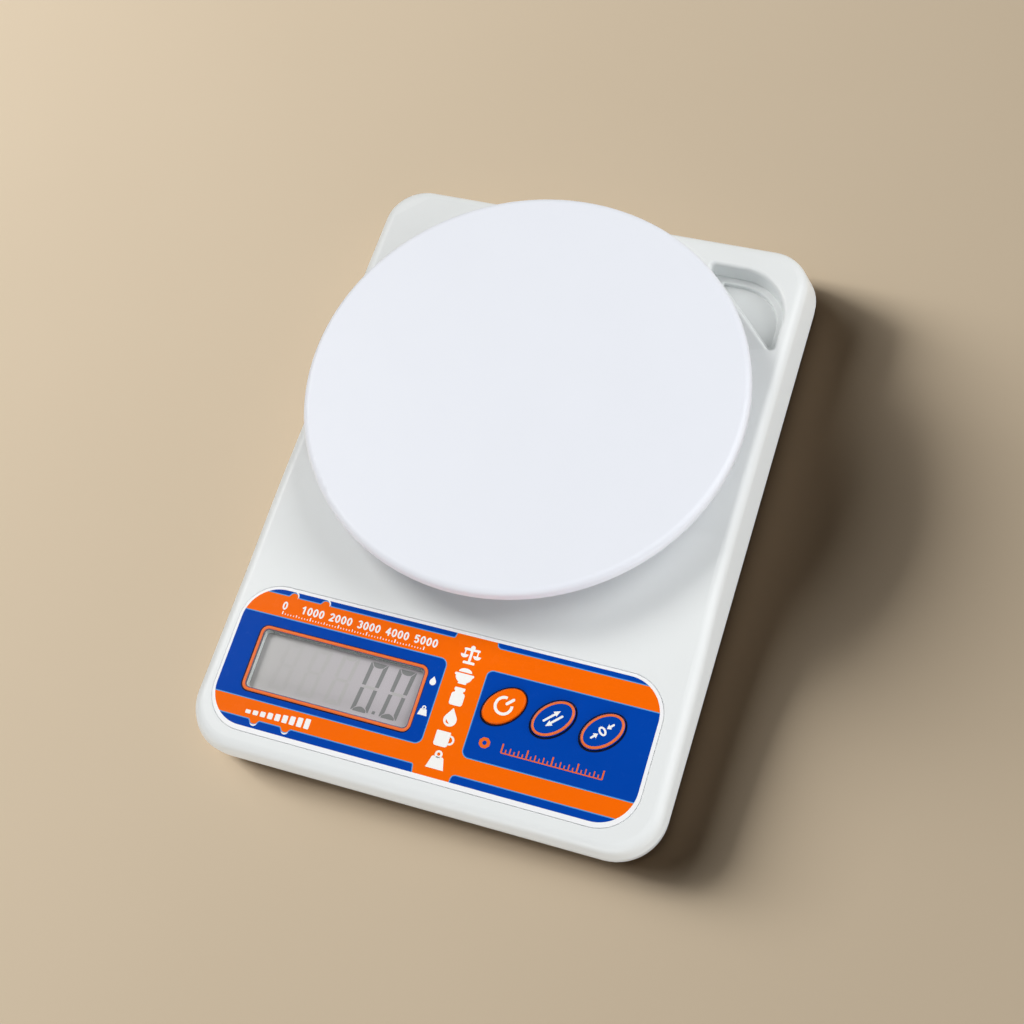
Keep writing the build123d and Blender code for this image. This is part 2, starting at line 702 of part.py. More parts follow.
with BuildPart() as battery_link_contact:
    with BuildSketch(Plane.YZ.offset(-bay_x + 0.05)):
        with Locations(((battery_y[0] + battery_y[1]) / 2, 9.75)):
            Rectangle(20, 9.5)
    extrude(amount=0.5)
    for y in battery_y:
        extrude(contact_leaf(-1, y), amount=-6.0)
write(battery_link_contact, "battery_link_contact")

for label, y in zip(("battery_positive_contact", "battery_negative_contact"), battery_y):
    with BuildPart() as contact:
        with BuildSketch(Plane.YZ.offset(bay_x - 0.55)):
            with Locations((y, 9.75)):
                Rectangle(9.0, 9.5)
        extrude(amount=0.5)
        extrude(contact_leaf(1, y), amount=-6.0)
        # solder tab through the end wall
        with BuildSketch(Plane.XY.offset(11.5)):
            with Locations((bay_x + 1.6, y)):
                Rectangle(3.6, 2.4)
        extrude(amount=0.5)
    write(contact, label)

with BuildPart() as battery_door:
    with BuildSketch(Plane.XY.offset(z_under)):
        with Locations((0, (door_y0 + door_y1) / 2)):
            Rectangle(2 * door_x, door_y1 - door_y0)
    extrude(amount=door_z1 - z_under)
    # hooks over the inside of the floor
    with BuildSketch(Plane.XY.offset(door_z1 - 0.1)):
        with Locations((-18, bay_y1 - 0.75), (18, bay_y1 - 0.75)):
            Rectangle(6.0, 1.1)
    extrude(amount=6.0 - door_z1 + 0.1)
    with BuildSketch(Plane.XY.offset(4.7)):
        with Locations((-18, bay_y1 + 1.0), (18, bay_y1 + 1.0)):
            Rectangle(6.0, 3.6)
    extrude(amount=1.3)
    # thumb latch: slots either side of a tongue, and raised grip lines
    with BuildSketch(Plane.XY.offset(z_under - 1)):
        with Locations((-6.2, door_y0 + 3.4), (6.2, door_y0 + 3.4)):
            Rectangle(0.9, 7.0)
    extrude(amount=4, mode=Mode.SUBTRACT)
    with BuildSketch(Plane.XY.offset(z_under)):
        with Locations(*[(0, door_y0 + 1.6 + 1.6 * i) for i in range(4)]):
            Rectangle(9.0, 0.7)
    extrude(amount=0.45, mode=Mode.SUBTRACT)
write(battery_door, "battery_door")

# ---------------------------------------------------------------------------
# leads held inside the housing
# ---------------------------------------------------------------------------
lead_r = 0.5


def board_surface(y):
    """Height of the main board's upper face at y."""
    return panel_height(y) + board_z1 / cos(panel_a)


end_y = y_front + 50.0
end_z = board_surface(end_y) + lead_r + 0.35
for i, label in enumerate(("load_cell_lead_red", "load_cell_lead_black",
                           "load_cell_lead_white", "load_cell_lead_green")):
    x0 = -4.0 + 2.0 * i
    x1 = 9.5 + 2.2 * i
    dz = 0.0
    part = rod([(x0, tray_y - 4.55, cell_z + cell_h + 0.6),
                (x0, tray_y - 11.0, cell_z + cell_h + 0.4),
                (x0 + 0.4, tray_y - 19.0, 8.2),
                (x0 + 2.4, tray_y - 32.0, 7.4),
                (x1 - 3.0, tray_y - 52.0, 7.6),
                (x1 - 0.6, tray_y - 70.0, 8.2),
                (x1, tray_y - 81.0, end_z + 0.2),
                (x1, end_y, end_z)], lead_r)
    write_part(part, label)

for i, (label, y) in enumerate((("battery_lead_red", battery_y[0]), ("battery_lead_black", battery_y[1]))):
    x1 = 20.4 + 2.4 * i
    route = [(28.0, y - 0.8, 12.55 + 1.1 * i),
             (28.2, y - 9.0, 12.3 + 1.1 * i),
             (28.8 + 0.8 * i, battery_y[0] - 24.0, 9.4 + 0.9 * i),
             (30.0 + 1.4 * i, battery_y[0] - 42.0, 7.8),
             (29.2 + 1.6 * i, battery_y[0] - 68.0, 7.4),
             (25.2 + 2.0 * i, battery_y[0] - 92.0, 7.6),
             (x1 + 0.5, battery_y[0] - 108.0, 8.6),
             (x1, battery_y[0] - 116.0, end_z + 0.2),
             (x1, end_y, end_z)]
    part = rod(route, lead_r)
    write_part(part, label)
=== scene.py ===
import bpy, bmesh
from math import sin, cos, atan, atan2, pi, radians, hypot, sqrt
from mathutils import Vector, Matrix
from mathutils.geometry import tessellate_polygon


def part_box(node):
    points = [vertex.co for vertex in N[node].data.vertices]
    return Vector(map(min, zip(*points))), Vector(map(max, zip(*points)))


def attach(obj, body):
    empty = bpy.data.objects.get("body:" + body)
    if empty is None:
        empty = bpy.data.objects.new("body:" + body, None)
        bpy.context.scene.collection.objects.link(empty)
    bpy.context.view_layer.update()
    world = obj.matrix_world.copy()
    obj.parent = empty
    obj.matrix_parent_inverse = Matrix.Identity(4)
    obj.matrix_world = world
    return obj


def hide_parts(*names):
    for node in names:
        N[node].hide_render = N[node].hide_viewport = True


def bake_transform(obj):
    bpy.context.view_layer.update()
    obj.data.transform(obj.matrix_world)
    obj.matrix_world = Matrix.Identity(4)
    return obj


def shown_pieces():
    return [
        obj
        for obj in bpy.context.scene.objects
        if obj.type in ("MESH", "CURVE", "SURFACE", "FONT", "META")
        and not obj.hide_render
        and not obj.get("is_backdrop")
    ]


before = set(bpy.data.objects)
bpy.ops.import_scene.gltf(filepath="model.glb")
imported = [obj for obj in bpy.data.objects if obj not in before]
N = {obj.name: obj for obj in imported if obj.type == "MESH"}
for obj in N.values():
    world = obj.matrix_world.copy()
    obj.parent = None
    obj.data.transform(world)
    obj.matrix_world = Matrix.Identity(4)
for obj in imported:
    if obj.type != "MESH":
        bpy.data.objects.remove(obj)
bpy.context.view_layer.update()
MM = 0.001
YF = -111.1                      # front edge of the housing, mm

# --------------------------------------------------------------------------
# camera: rows of R are the camera's right, down and forward; T and F in mm and px
# --------------------------------------------------------------------------
R = [[0.938551616631, 0.304702869709, -0.162101894223],
     [0.211883046910, -0.879426792878, -0.426279357230],
     [-0.272445292401, 0.365738536607, -0.889948810600]]
T = [-31.902269481, 96.318035130, 540.618785151]
F_PX = 1677.109192
Rm = Matrix(R)
C = -(Rm.transposed() @ Vector(T))
C.y += YF
cam_data = bpy.data.cameras.new("camera")
cam_data.sensor_width = 36.0
cam_data.lens = F_PX * 36.0 / 1024.0
cam_data.clip_start = 0.01
cam = bpy.data.objects.new("camera", cam_data)
bpy.context.scene.collection.objects.link(cam)
m = Matrix.Identity(4)
for i in range(3):
    m[i][0] = R[0][i]
    m[i][1] = -R[1][i]
    m[i][2] = -R[2][i]
    m[i][3] = C[i] * MM
cam.matrix_world = m
bpy.context.scene.camera = cam

# --------------------------------------------------------------------------
# small helpers
# --------------------------------------------------------------------------
A = atan(0.05)                   # slope of the control panel
PO = Vector((-1.5, YF + 32.6, 15.0))
PY = Vector((0, cos(A), sin(A)))
PN = Vector((0, -sin(A), cos(A)))


def on_panel(x, y, w):
    """A point given in panel coordinates, mm, as a row-frame point in metres."""
    return (PO + Vector((x, 0, 0)) + PY * y + PN * w) * MM


def link(obj):
    bpy.context.scene.collection.objects.link(obj)
    return obj


def mesh_object(name, verts, faces, mat, body="housing", smooth=False, slots=None):
    me = bpy.data.meshes.new(name)
    me.from_pydata([tuple(v) for v in verts], [], faces)
    me.validate()
    me.update()
    ob = link(bpy.data.objects.new(name, me))
    for mt in (mat if isinstance(mat, (list, tuple)) else [mat]):
        me.materials.append(mt)
    if slots:
        for p, s in zip(me.polygons, slots):
            p.material_index = s
    if smooth:
        for p in me.polygons:
            p.use_smooth = True
    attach(ob, body)
    return ob


# --------------------------------------------------------------------------
# materials
# --------------------------------------------------------------------------
def new_mat(name):
    mt = bpy.data.materials.new(name)
    mt.use_nodes = True
    nt = mt.node_tree
    for n in list(nt.nodes):
        nt.nodes.remove(n)
    out = nt.nodes.new("ShaderNodeOutputMaterial")
    bs = nt.nodes.new("ShaderNodeBsdfPrincipled")
    nt.links.new(bs.outputs[0], out.inputs[0])
    return mt, nt, bs, out


def plastic(name, base, rough=0.42, grain=0.00035, grain_h=0.06, mottle=0.02, wear=0.05,
            spec=0.5, coat=0.0, sss=0.0, wear_col=None, painted_hollow_shade=0.04):
    """Moulded plastic: fine spark texture, slight uneven colour, scuffed edges."""
    mt, nt, bs, out = new_mat(name)
    L = nt.links
    tc = nt.nodes.new("ShaderNodeTexCoord")
    # fine texture
    n1 = nt.nodes.new("ShaderNodeTexNoise")
    n1.inputs["Scale"].default_value = 1.0 / grain
    n1.inputs["Detail"].default_value = 3.0
    n1.inputs["Roughness"].default_value = 0.6
    L.new(tc.outputs["Object"], n1.inputs["Vector"])
    # wide mottle
    n2 = nt.nodes.new("ShaderNodeTexNoise")
    n2.inputs["Scale"].default_value = 45.0
    n2.inputs["Detail"].default_value = 4.0
    L.new(tc.outputs["Object"], n2.inputs["Vector"])
    # faint handling marks
    n3 = nt.nodes.new("ShaderNodeTexNoise")
    n3.inputs["Scale"].default_value = 260.0
    n3.inputs["Detail"].default_value = 6.0
    n3.inputs["Roughness"].default_value = 0.7
    L.new(tc.outputs["Object"], n3.inputs["Vector"])
    mix = nt.nodes.new("ShaderNodeMix")
    mix.data_type = "RGBA"
    mix.inputs["A"].default_value = (*[max(c * (1 - mottle), 0) for c in base], 1)
    mix.inputs["B"].default_value = (*[min(c * (1 + mottle), 1) for c in base], 1)
    L.new(n2.outputs["Fac"], mix.inputs["Factor"])
    # edges: a touch lighter, in scuffed patches
    geo = nt.nodes.new("ShaderNodeNewGeometry")
    edge = nt.nodes.new("ShaderNodeMapRange")
    edge.inputs["From Min"].default_value = 0.52
    edge.inputs["From Max"].default_value = 0.62
    L.new(geo.outputs["Pointiness"], edge.inputs["Value"])
    wc = wear_col or [min(c * 1.12 + 0.02, 1) for c in base]
    mix2 = nt.nodes.new("ShaderNodeMix")
    mix2.data_type = "RGBA"
    L.new(mix.outputs["Result"], mix2.inputs["A"])
    mix2.inputs["B"].default_value = (*wc, 1)
    wm = nt.nodes.new("ShaderNodeMath")
    wm.operation = "MULTIPLY"
    wm.inputs[1].default_value = wear * 6
    L.new(edge.outputs["Result"], wm.inputs[0])
    wn = nt.nodes.new("ShaderNodeMath")
    wn.operation = "MULTIPLY"
    L.new(wm.outputs[0], wn.inputs[0])
    L.new(n3.outputs["Fac"], wn.inputs[1])
    wn.use_clamp = True
    L.new(wn.outputs[0], mix2.inputs["Factor"])
    # painted shade: the colour darkens towards 0.62 of the base in the hollows
    hol = nt.nodes.new("ShaderNodeMapRange")
    hol.inputs["From Min"].default_value = 0.49
    hol.inputs["From Max"].default_value = 0.40
    L.new(geo.outputs["Pointiness"], hol.inputs["Value"])
    hm = nt.nodes.new("ShaderNodeMath")
    hm.operation = "MULTIPLY"
    hm.inputs[1].default_value = painted_hollow_shade * 4
    L.new(hol.outputs["Result"], hm.inputs[0])
    mix3 = nt.nodes.new("ShaderNodeMix")
    mix3.data_type = "RGBA"
    L.new(mix2.outputs["Result"], mix3.inputs["A"])
    mix3.inputs["B"].default_value = (*[c * 0.62 for c in base], 1)
    L.new(hm.outputs[0], mix3.inputs["Factor"])
    L.new(mix3.outputs["Result"], bs.inputs["Base Color"])
    # roughness varies with the handling marks
    rr = nt.nodes.new("ShaderNodeMapRange")
    rr.inputs["From Min"].default_value = 0.3
    rr.inputs["From Max"].default_value = 0.7
    rr.inputs["To Min"].default_value = rough - 0.05
    rr.inputs["To Max"].default_value = rough + 0.06
    L.new(n3.outputs["Fac"], rr.inputs["Value"])
    L.new(rr.outputs["Result"], bs.inputs["Roughness"])
    bs.inputs["Specular IOR Level"].default_value = spec
    if coat:
        bs.inputs["Coat Weight"].default_value = coat
        bs.inputs["Coat Roughness"].default_value = 0.12
    if sss:
        bs.inputs["Subsurface Weight"].default_value = sss
        bs.inputs["Subsurface Radius"].default_value = (1.0, 0.9, 0.8)
        bs.inputs["Subsurface Scale"].default_value = 0.0012
    bump = nt.nodes.new("ShaderNodeBump")
    bump.inputs["Strength"].default_value = grain_h
    bump.inputs["Distance"].default_value = 0.00012
    L.new(n1.outputs["Fac"], bump.inputs["Height"])
    L.new(bump.outputs["Normal"], bs.inputs["Normal"])
    return mt


def metal(name, base, rough=0.3, scale=900.0, stretch=(1, 1, 1), bump_h=0.1):
    mt, nt, bs, out = new_mat(name)
    L = nt.links
    tc = nt.nodes.new("ShaderNodeTexCoord")
    mp = nt.nodes.new("ShaderNodeMapping")
    mp.inputs["Scale"].default_value = stretch
    L.new(tc.outputs["Object"], mp.inputs["Vector"])
    n = nt.nodes.new("ShaderNodeTexNoise")
    n.inputs["Scale"].default_value = scale
    n.inputs["Detail"].default_value = 5
    L.new(mp.outputs["Vector"], n.inputs["Vector"])
    mix = nt.nodes.new("ShaderNodeMix")
    mix.data_type = "RGBA"
    mix.inputs["A"].default_value = (*[c * 0.82 for c in base], 1)
    mix.inputs["B"].default_value = (*[min(c * 1.1, 1) for c in base], 1)
    L.new(n.outputs["Fac"], mix.inputs["Factor"])
    L.new(mix.outputs["Result"], bs.inputs["Base Color"])
    rr = nt.nodes.new("ShaderNodeMapRange")
    rr.inputs["To Min"].default_value = rough - 0.08
    rr.inputs["To Max"].default_value = rough + 0.12
    L.new(n.outputs["Fac"], rr.inputs["Value"])
    L.new(rr.outputs["Result"], bs.inputs["Roughness"])
    bs.inputs["Metallic"].default_value = 1.0
    bump = nt.nodes.new("ShaderNodeBump")
    bump.inputs["Strength"].default_value = bump_h
    bump.inputs["Distance"].default_value = 0.00005
    L.new(n.outputs["Fac"], bump.inputs["Height"])
    L.new(bump.outputs["Normal"], bs.inputs["Normal"])
    return mt


def ink(name, base, rough=0.24, spec=0.15):
    """Screen-printed ink under a satin film: very fine orange peel, slight density change."""
    return plastic(name, base, rough=rough, grain=0.00022, grain_h=0.035, mottle=0.05,
                   wear=0.0, spec=spec, painted_hollow_shade=0.0)


WHITE = plastic("housing_white", (0.838, 0.862, 0.862), rough=0.40, grain=0.00030, grain_h=0.10, mottle=0.012, sss=0.0)
TRAY = plastic("tray_white", (0.862, 0.888, 0.955), rough=0.46, grain=0.00026, grain_h=0.12, mottle=0.010, sss=0.0)
FILM = plastic("overlay_white", (0.95, 0.955, 0.97), rough=0.30, grain=0.0002, grain_h=0.03, mottle=0.01, wear=0.0)
BLUE = ink("ink_blue", (0.0005, 0.058, 0.410), spec=0.06)
ORANGE = ink("ink_orange", (1.0, 0.150, 0.001), spec=0.08)
ORANGE2 = ink("ink_orange_line", (0.86, 0.155, 0.016))
BEAD = plastic("bead_orange", (0.86, 0.170, 0.030), rough=0.38, grain=0.0003, grain_h=0.06, mottle=0.05, spec=0.3, wear=0.04, painted_hollow_shade=0.05)
CYAN = ink("ink_edge_blue", (0.080, 0.340, 0.680))
INKW = ink("ink_white", (0.96, 0.955, 0.93))
# painted shadow: this dark ink only draws the shadow rings round the window and the keys
PAINTED_SHADOW = ink("painted_shadow_dark", (0.006, 0.010, 0.030))
RUBBER = plastic("foot_rubber_grey", (0.10, 0.105, 0.11), rough=0.78, grain=0.00045, grain_h=0.35, mottle=0.08, spec=0.25)
BLACKP = plastic("black_plastic", (0.018, 0.018, 0.02), rough=0.45, grain=0.0003, grain_h=0.1, mottle=0.1)
BOARD = plastic("board_mask", (0.010, 0.085, 0.035), rough=0.28, grain=0.0006, grain_h=0.08, mottle=0.12)
BLOB = plastic("epoxy_black", (0.012, 0.012, 0.013), rough=0.22, grain=0.001, grain_h=0.15, mottle=0.1)
SEAL = plastic("silicone_white", (0.72, 0.72, 0.69), rough=0.5, grain=0.0009, grain_h=0.5, mottle=0.05)
ELAST = plastic("elastomer_pink", (0.52, 0.20, 0.24), rough=0.6, grain=0.0004, grain_h=0.2, mottle=0.08)
JACKET = plastic("cell_jacket", (0.035, 0.045, 0.06), rough=0.25, grain=0.0007, grain_h=0.05, mottle=0.1)
CLEARRED = plastic("lead_red_skin", (0.50, 0.02, 0.015), rough=0.4, grain=0.0004, grain_h=0.1)
LBLACK = plastic("lead_black_skin", (0.014, 0.014, 0.015), rough=0.4, grain=0.0004, grain_h=0.1)
LWHITE = plastic("lead_white_skin", (0.78, 0.78, 0.75), rough=0.4, grain=0.0004, grain_h=0.1)
LGREEN = plastic("lead_green_skin", (0.012, 0.19, 0.05), rough=0.4, grain=0.0004, grain_h=0.1)
STEEL = metal("zinc_steel", (0.62, 0.62, 0.64), rough=0.3, stretch=(1, 1, 0.2))
NICKEL = metal("nickel_strip", (0.70, 0.68, 0.63), rough=0.22, stretch=(0.2, 1, 1))
ALU = metal("milled_aluminium", (0.78, 0.79, 0.81), rough=0.32, stretch=(0.08, 1, 1), scale=1400)


def lcd_material():
    mt, nt, bs, out = new_mat("lcd_panel")
    L = nt.links
    tc = nt.nodes.new("ShaderNodeTexCoord")
    sep = nt.nodes.new("ShaderNodeSeparateXYZ")
    L.new(tc.outputs["Object"], sep.inputs[0])
    rx = nt.nodes.new("ShaderNodeMapRange")
    rx.inputs["From Min"].default_value = -0.0645
    rx.inputs["From Max"].default_value = -0.0065
    L.new(sep.outputs["X"], rx.inputs["Value"])
    n = nt.nodes.new("ShaderNodeTexNoise")
    n.inputs["Scale"].default_value = 60
    n.inputs["Detail"].default_value = 4
    L.new(tc.outputs["Object"], n.inputs["Vector"])
    nm = nt.nodes.new("ShaderNodeMath")
    nm.operation = "MULTIPLY_ADD"
    nm.inputs[1].default_value = 0.25
    L.new(n.outputs["Fac"], nm.inputs[0])
    L.new(rx.outputs["Result"], nm.inputs[2])
    ramp = nt.nodes.new("ShaderNodeValToRGB")
    ramp.color_ramp.elements[0].position = 0.0
    ramp.color_ramp.elements[0].color = (0.535, 0.521, 0.515, 1)
    ramp.color_ramp.elements[1].position = 1.0
    ramp.color_ramp.elements[1].color = (0.579, 0.529, 0.577, 1)
    L.new(nm.outputs[0], ramp.inputs[0])
    fine = nt.nodes.new("ShaderNodeTexNoise")
    fine.inputs["Scale"].default_value = 9000
    fine.inputs["Detail"].default_value = 2
    L.new(tc.outputs["Object"], fine.inputs["Vector"])
    mx = nt.nodes.new("ShaderNodeMix")
    mx.data_type = "RGBA"
    mx.inputs["Factor"].default_value = 0.06
    mx.blend_type = "OVERLAY"
    L.new(ramp.outputs[0], mx.inputs["A"])
    L.new(fine.outputs["Color"], mx.inputs["B"])
    L.new(mx.outputs["Result"], bs.inputs["Base Color"])
    bs.inputs["Roughness"].default_value = 0.35
    bump = nt.nodes.new("ShaderNodeBump")
    bump.inputs["Strength"].default_value = 0.03
    bump.inputs["Distance"].default_value = 0.00003
    L.new(fine.outputs["Fac"], bump.inputs["Height"])
    L.new(bump.outputs["Normal"], bs.inputs["Normal"])
    return mt


def lens_material():
    mt = bpy.data.materials.new("clear_lens")
    mt.use_nodes = True
    nt = mt.node_tree
    for n in list(nt.nodes):
        nt.nodes.remove(n)
    L = nt.links
    out = nt.nodes.new("ShaderNodeOutputMaterial")
    tr = nt.nodes.new("ShaderNodeBsdfTransparent")
    tr.inputs[0].default_value = (0.985, 0.99, 0.985, 1)
    gl = nt.nodes.new("ShaderNodeBsdfGlossy")
    tc = nt.nodes.new("ShaderNodeTexCoord")
    n = nt.nodes.new("ShaderNodeTexNoise")
    n.inputs["Scale"].default_value = 300
    n.inputs["Detail"].default_value = 4
    L.new(tc.outputs["Object"], n.inputs["Vector"])
    rr = nt.nodes.new("ShaderNodeMapRange")
    rr.inputs["To Min"].default_value = 0.06
    rr.inputs["To Max"].default_value = 0.14
    L.new(n.outputs["Fac"], rr.inputs["Value"])
    L.new(rr.outputs["Result"], gl.inputs["Roughness"])
    fr = nt.nodes.new("ShaderNodeFresnel")
    fr.inputs["IOR"].default_value = 1.35
    mx = nt.nodes.new("ShaderNodeMixShader")
    geo = nt.nodes.new("ShaderNodeNewGeometry")
    front = nt.nodes.new("ShaderNodeMath")
    front.operation = "SUBTRACT"
    front.inputs[0].default_value = 1.0
    L.new(geo.outputs["Backfacing"], front.inputs[1])
    shine = nt.nodes.new("ShaderNodeMath")
    shine.operation = "MULTIPLY"
    L.new(fr.outputs[0], shine.inputs[0])
    L.new(front.outputs[0], shine.inputs[1])
    L.new(shine.outputs[0], mx.inputs[0])
    L.new(tr.outputs[0], mx.inputs[1])
    L.new(gl.outputs[0], mx.inputs[2])
    L.new(mx.outputs[0], out.inputs[0])
    return mt


LCD = lcd_material()
LENS = lens_material()
DIGIT = plastic("lcd_segment", (0.246, 0.246, 0.252), rough=0.45, grain=0.0002, grain_h=0.02, mottle=0.06, wear=0, painted_hollow_shade=0)
GHOST = plastic("lcd_ghost", (0.528, 0.506, 0.512), rough=0.4, grain=0.0002, grain_h=0.02, mottle=0.03, wear=0, painted_hollow_shade=0)

MATS = {
    "top_shell": WHITE, "bottom_shell": WHITE, "battery_door": WHITE, "tray": TRAY, "tray_support": WHITE,
    "rubber_feet": RUBBER, "case_screws": STEEL, "support_screws": STEEL, "load_cell_base_screws": STEEL,
    "board_screws": STEEL, "load_cell": ALU, "gauge_sealant": SEAL, "panel_overlay": FILM,
    "display_lens": LENS, "lcd_glass": LCD, "lcd_frame": BLACKP, "elastomer_strips": ELAST,
    "main_board": BOARD, "controller_blob": BLOB, "button_switches": BLACKP,
    "power_button": ORANGE, "unit_button": BLUE, "tare_button": BLUE,
    "power_switch_plunger": BLACKP, "unit_switch_plunger": BLACKP, "tare_switch_plunger": BLACKP,
    "battery_cells": JACKET, "battery_link_contact": NICKEL, "battery_positive_contact": NICKEL,
    "battery_negative_contact": NICKEL, "load_cell_lead_red": CLEARRED, "load_cell_lead_black": LBLACK,
    "load_cell_lead_white": LWHITE, "load_cell_lead_green": LGREEN, "battery_lead_red": CLEARRED,
    "battery_lead_black": LBLACK,
}
for name, ob in N.items():
    if not ob.material_slots:
        ob.data.materials.append(MATS[name])
    for s in ob.material_slots:
        s.material = MATS[name]

# --------------------------------------------------------------------------
# printed panel: flat shapes in panel coordinates, clipped to the printed area
# --------------------------------------------------------------------------
FILM_TOP = 0.05


def rounded(cx, cy, w, h, r, n=14):
    """Counter-clockwise rounded rectangle; r is one radius or four (br, tr, tl, bl)."""
    rs = r if isinstance(r, (list, tuple)) else (r,) * 4
    pts = []
    for k, (sx, sy) in enumerate(((1, -1), (1, 1), (-1, 1), (-1, -1))):
        rr = rs[k]
        if rr <= 0:
            pts.append((cx + sx * w / 2, cy + sy * h / 2))
            continue
        ox, oy = cx + sx * (w / 2 - rr), cy + sy * (h / 2 - rr)
        a0 = (-pi / 2, 0, pi / 2, pi)[k]
        for i in range(n + 1):
            a = a0 + (pi / 2) * i / n
            pts.append((ox + rr * cos(a), oy + rr * sin(a)))
    return pts


def box_pts(x0, y0, x1, y1, r=0, n=14):
    return rounded((x0 + x1) / 2, (y0 + y1) / 2, x1 - x0, y1 - y0, r, n)


def clip(poly, convex):
    """Sutherland-Hodgman: poly cut to a counter-clockwise convex outline."""
    out = list(poly)
    for (ax, ay), (bx, by) in zip(convex, convex[1:] + convex[:1]):
        if hypot(bx - ax, by - ay) < 1e-9:
            continue
        src, out = out, []
        if not src:
            return []

        def side(p):
            return (bx - ax) * (p[1] - ay) - (by - ay) * (p[0] - ax)
        for p, q in zip(src, src[1:] + src[:1]):
            sp, sq = side(p), side(q)
            if sp >= 0:
                out.append(p)
            if (sp >= 0) != (sq >= 0):
                t = sp / (sp - sq)
                out.append((p[0] + t * (q[0] - p[0]), p[1] + t * (q[1] - p[1])))
    return out


def tidy(poly):
    out = []
    for p in poly:
        if not out or hypot(p[0] - out[-1][0], p[1] - out[-1][1]) > 1e-3:
            out.append(p)
    while len(out) > 1 and hypot(out[0][0] - out[-1][0], out[0][1] - out[-1][1]) < 1e-3:
        out.pop()
    return out


def signed_area(poly):
    return sum(a[0] * b[1] - b[0] * a[1] for a, b in zip(poly, poly[1:] + poly[:1])) / 2


def prints(name, polys, mat, level, thick=0.03, place=on_panel, body="housing"):
    """Closed flat inlays: each polygon becomes a plate from under the surface to level."""
    return prints_cut(name, [(p, []) for p in polys if len(tidy(p)) > 2], None, mat, level, thick, place, body)


def prints_cut(name, polys, holes, mat, level, thick=0.03, place=on_panel, body="housing"):
    """As prints, with openings: polys is one outline, or, where holes is None, a list of (outline, openings)."""
    parts = polys if holes is None else [(polys, holes)]
    v, f = [], []
    for step, (poly, cuts) in enumerate(parts):
        up = level + 0.0012 * (step % 8)      # strokes that cross are not in one plane
        poly = tidy(poly)
        loops = [poly if signed_area(poly) > 0 else poly[::-1]]
        for h in cuts:
            h = tidy(h)
            loops.append(h if signed_area(h) > 0 else h[::-1])
        flat = [Vector((x, y, 0)) for lp in loops for x, y in lp]
        tris = tessellate_polygon([[Vector((x, y, 0)) for x, y in lp] for lp in loops])
        o = len(v)
        v += [place(p.x, p.y, up) for p in flat] + [place(p.x, p.y, up - thick) for p in flat]
        n = len(flat)
        for a, b, c in tris:
            if (flat[b] - flat[a]).cross(flat[c] - flat[a]).z < 0:
                a, b, c = c, b, a
            f.append((o + a, o + b, o + c))
            f.append((o + n + c, o + n + b, o + n + a))
        k = 0
        for li, lp in enumerate(loops):
            m_ = len(lp)
            for i in range(m_):
                a, b = o + k + i, o + k + (i + 1) % m_
                f.append((a, n + a, n + b, b) if li == 0 else (b, n + b, n + a, a))
            k += m_
    return mesh_object(name, v, f, mat, body)


def ring(name, outer, inner, mat, level, thick=0.03, place=on_panel, body="housing"):
    """A closed flat ring between two outlines with the same number of points."""
    n = len(outer)
    v, f = [], []
    for lev in (level, level - thick):
        for x, y in outer:
            v.append(place(x, y, lev))
        for x, y in inner:
            v.append(place(x, y, lev))
    for i in range(n):
        j = (i + 1) % n
        f.append((i, j, n + j, n + i))
        f.append((2 * n + j, 2 * n + i, 3 * n + i, 3 * n + j))
        f.append((j, i, 2 * n + i, 2 * n + j))
        f.append((n + i, n + j, 3 * n + j, 3 * n + i))
    return mesh_object(name, v, f, mat, body)


def offset_poly(poly, d):
    """Mitre offset of a counter-clockwise polygon; negative shrinks."""
    poly = tidy(poly)
    n = len(poly)
    out = []
    for i in range(n):
        a, b, c = poly[i - 1], poly[i], poly[(i + 1) % n]
        e1 = (b[0] - a[0], b[1] - a[1])
        e2 = (c[0] - b[0], c[1] - b[1])
        l1, l2 = hypot(*e1), hypot(*e2)
        n1 = (e1[1] / l1, -e1[0] / l1)
        n2 = (e2[1] / l2, -e2[0] / l2)
        k = max(1 + n1[0] * n2[0] + n1[1] * n2[1], 0.35)
        out.append((b[0] + d * (n1[0] + n2[0]) / k, b[1] + d * (n1[1] + n2[1]) / k))
    return out


# printed area: a little inside the film, so that a white border shows
inner = box_pts(-72.8, -23.7, 72.5, 24.15, 12.3, 24)

BTN_X, BTN_Y, BTN_A, BTN_B, BTN_GAP = (23.5, 40.1, 56.5), 4.3, 7.6, 5.05, 0.3
TILT = radians(44)               # the oval keys and their symbols are turned in the panel
WX, WY, WW, WH, WR = -34.25, -0.55, 57.9, 20.7, 1.6
window = rounded(WX, WY, WW, WH, WR, 8)


def disc(cx, cy, r, n=64):
    return [(cx + r * cos(2 * pi * i / n), cy + r * sin(2 * pi * i / n)) for i in range(n)]


def oval(cx, cy, a, b, n=72):
    """A counter-clockwise ellipse turned by TILT."""
    c_, s_ = cos(TILT), sin(TILT)
    return [(cx + a * cos(2 * pi * i / n) * c_ - b * sin(2 * pi * i / n) * s_,
             cy + a * cos(2 * pi * i / n) * s_ + b * sin(2 * pi * i / n) * c_) for i in range(n)]


def oval_rim(a, b, off, n=96):
    """Points at a distance off outside an untilted ellipse."""
    out = []
    for i in range(n):
        t = 2 * pi * i / n
        nx, ny = cos(t) / a, sin(t) / b
        l = hypot(nx, ny)
        out.append((a * cos(t) + off * nx / l, b * sin(t) + off * ny / l))
    return out


key_holes = [oval(bx, BTN_Y, BTN_A + BTN_GAP, BTN_B + BTN_GAP) for bx in BTN_X]

# orange ground over the whole printed area
prints_cut("print_orange", inner, [window] + key_holes, ORANGE, FILM_TOP + 0.02, thick=0.05)


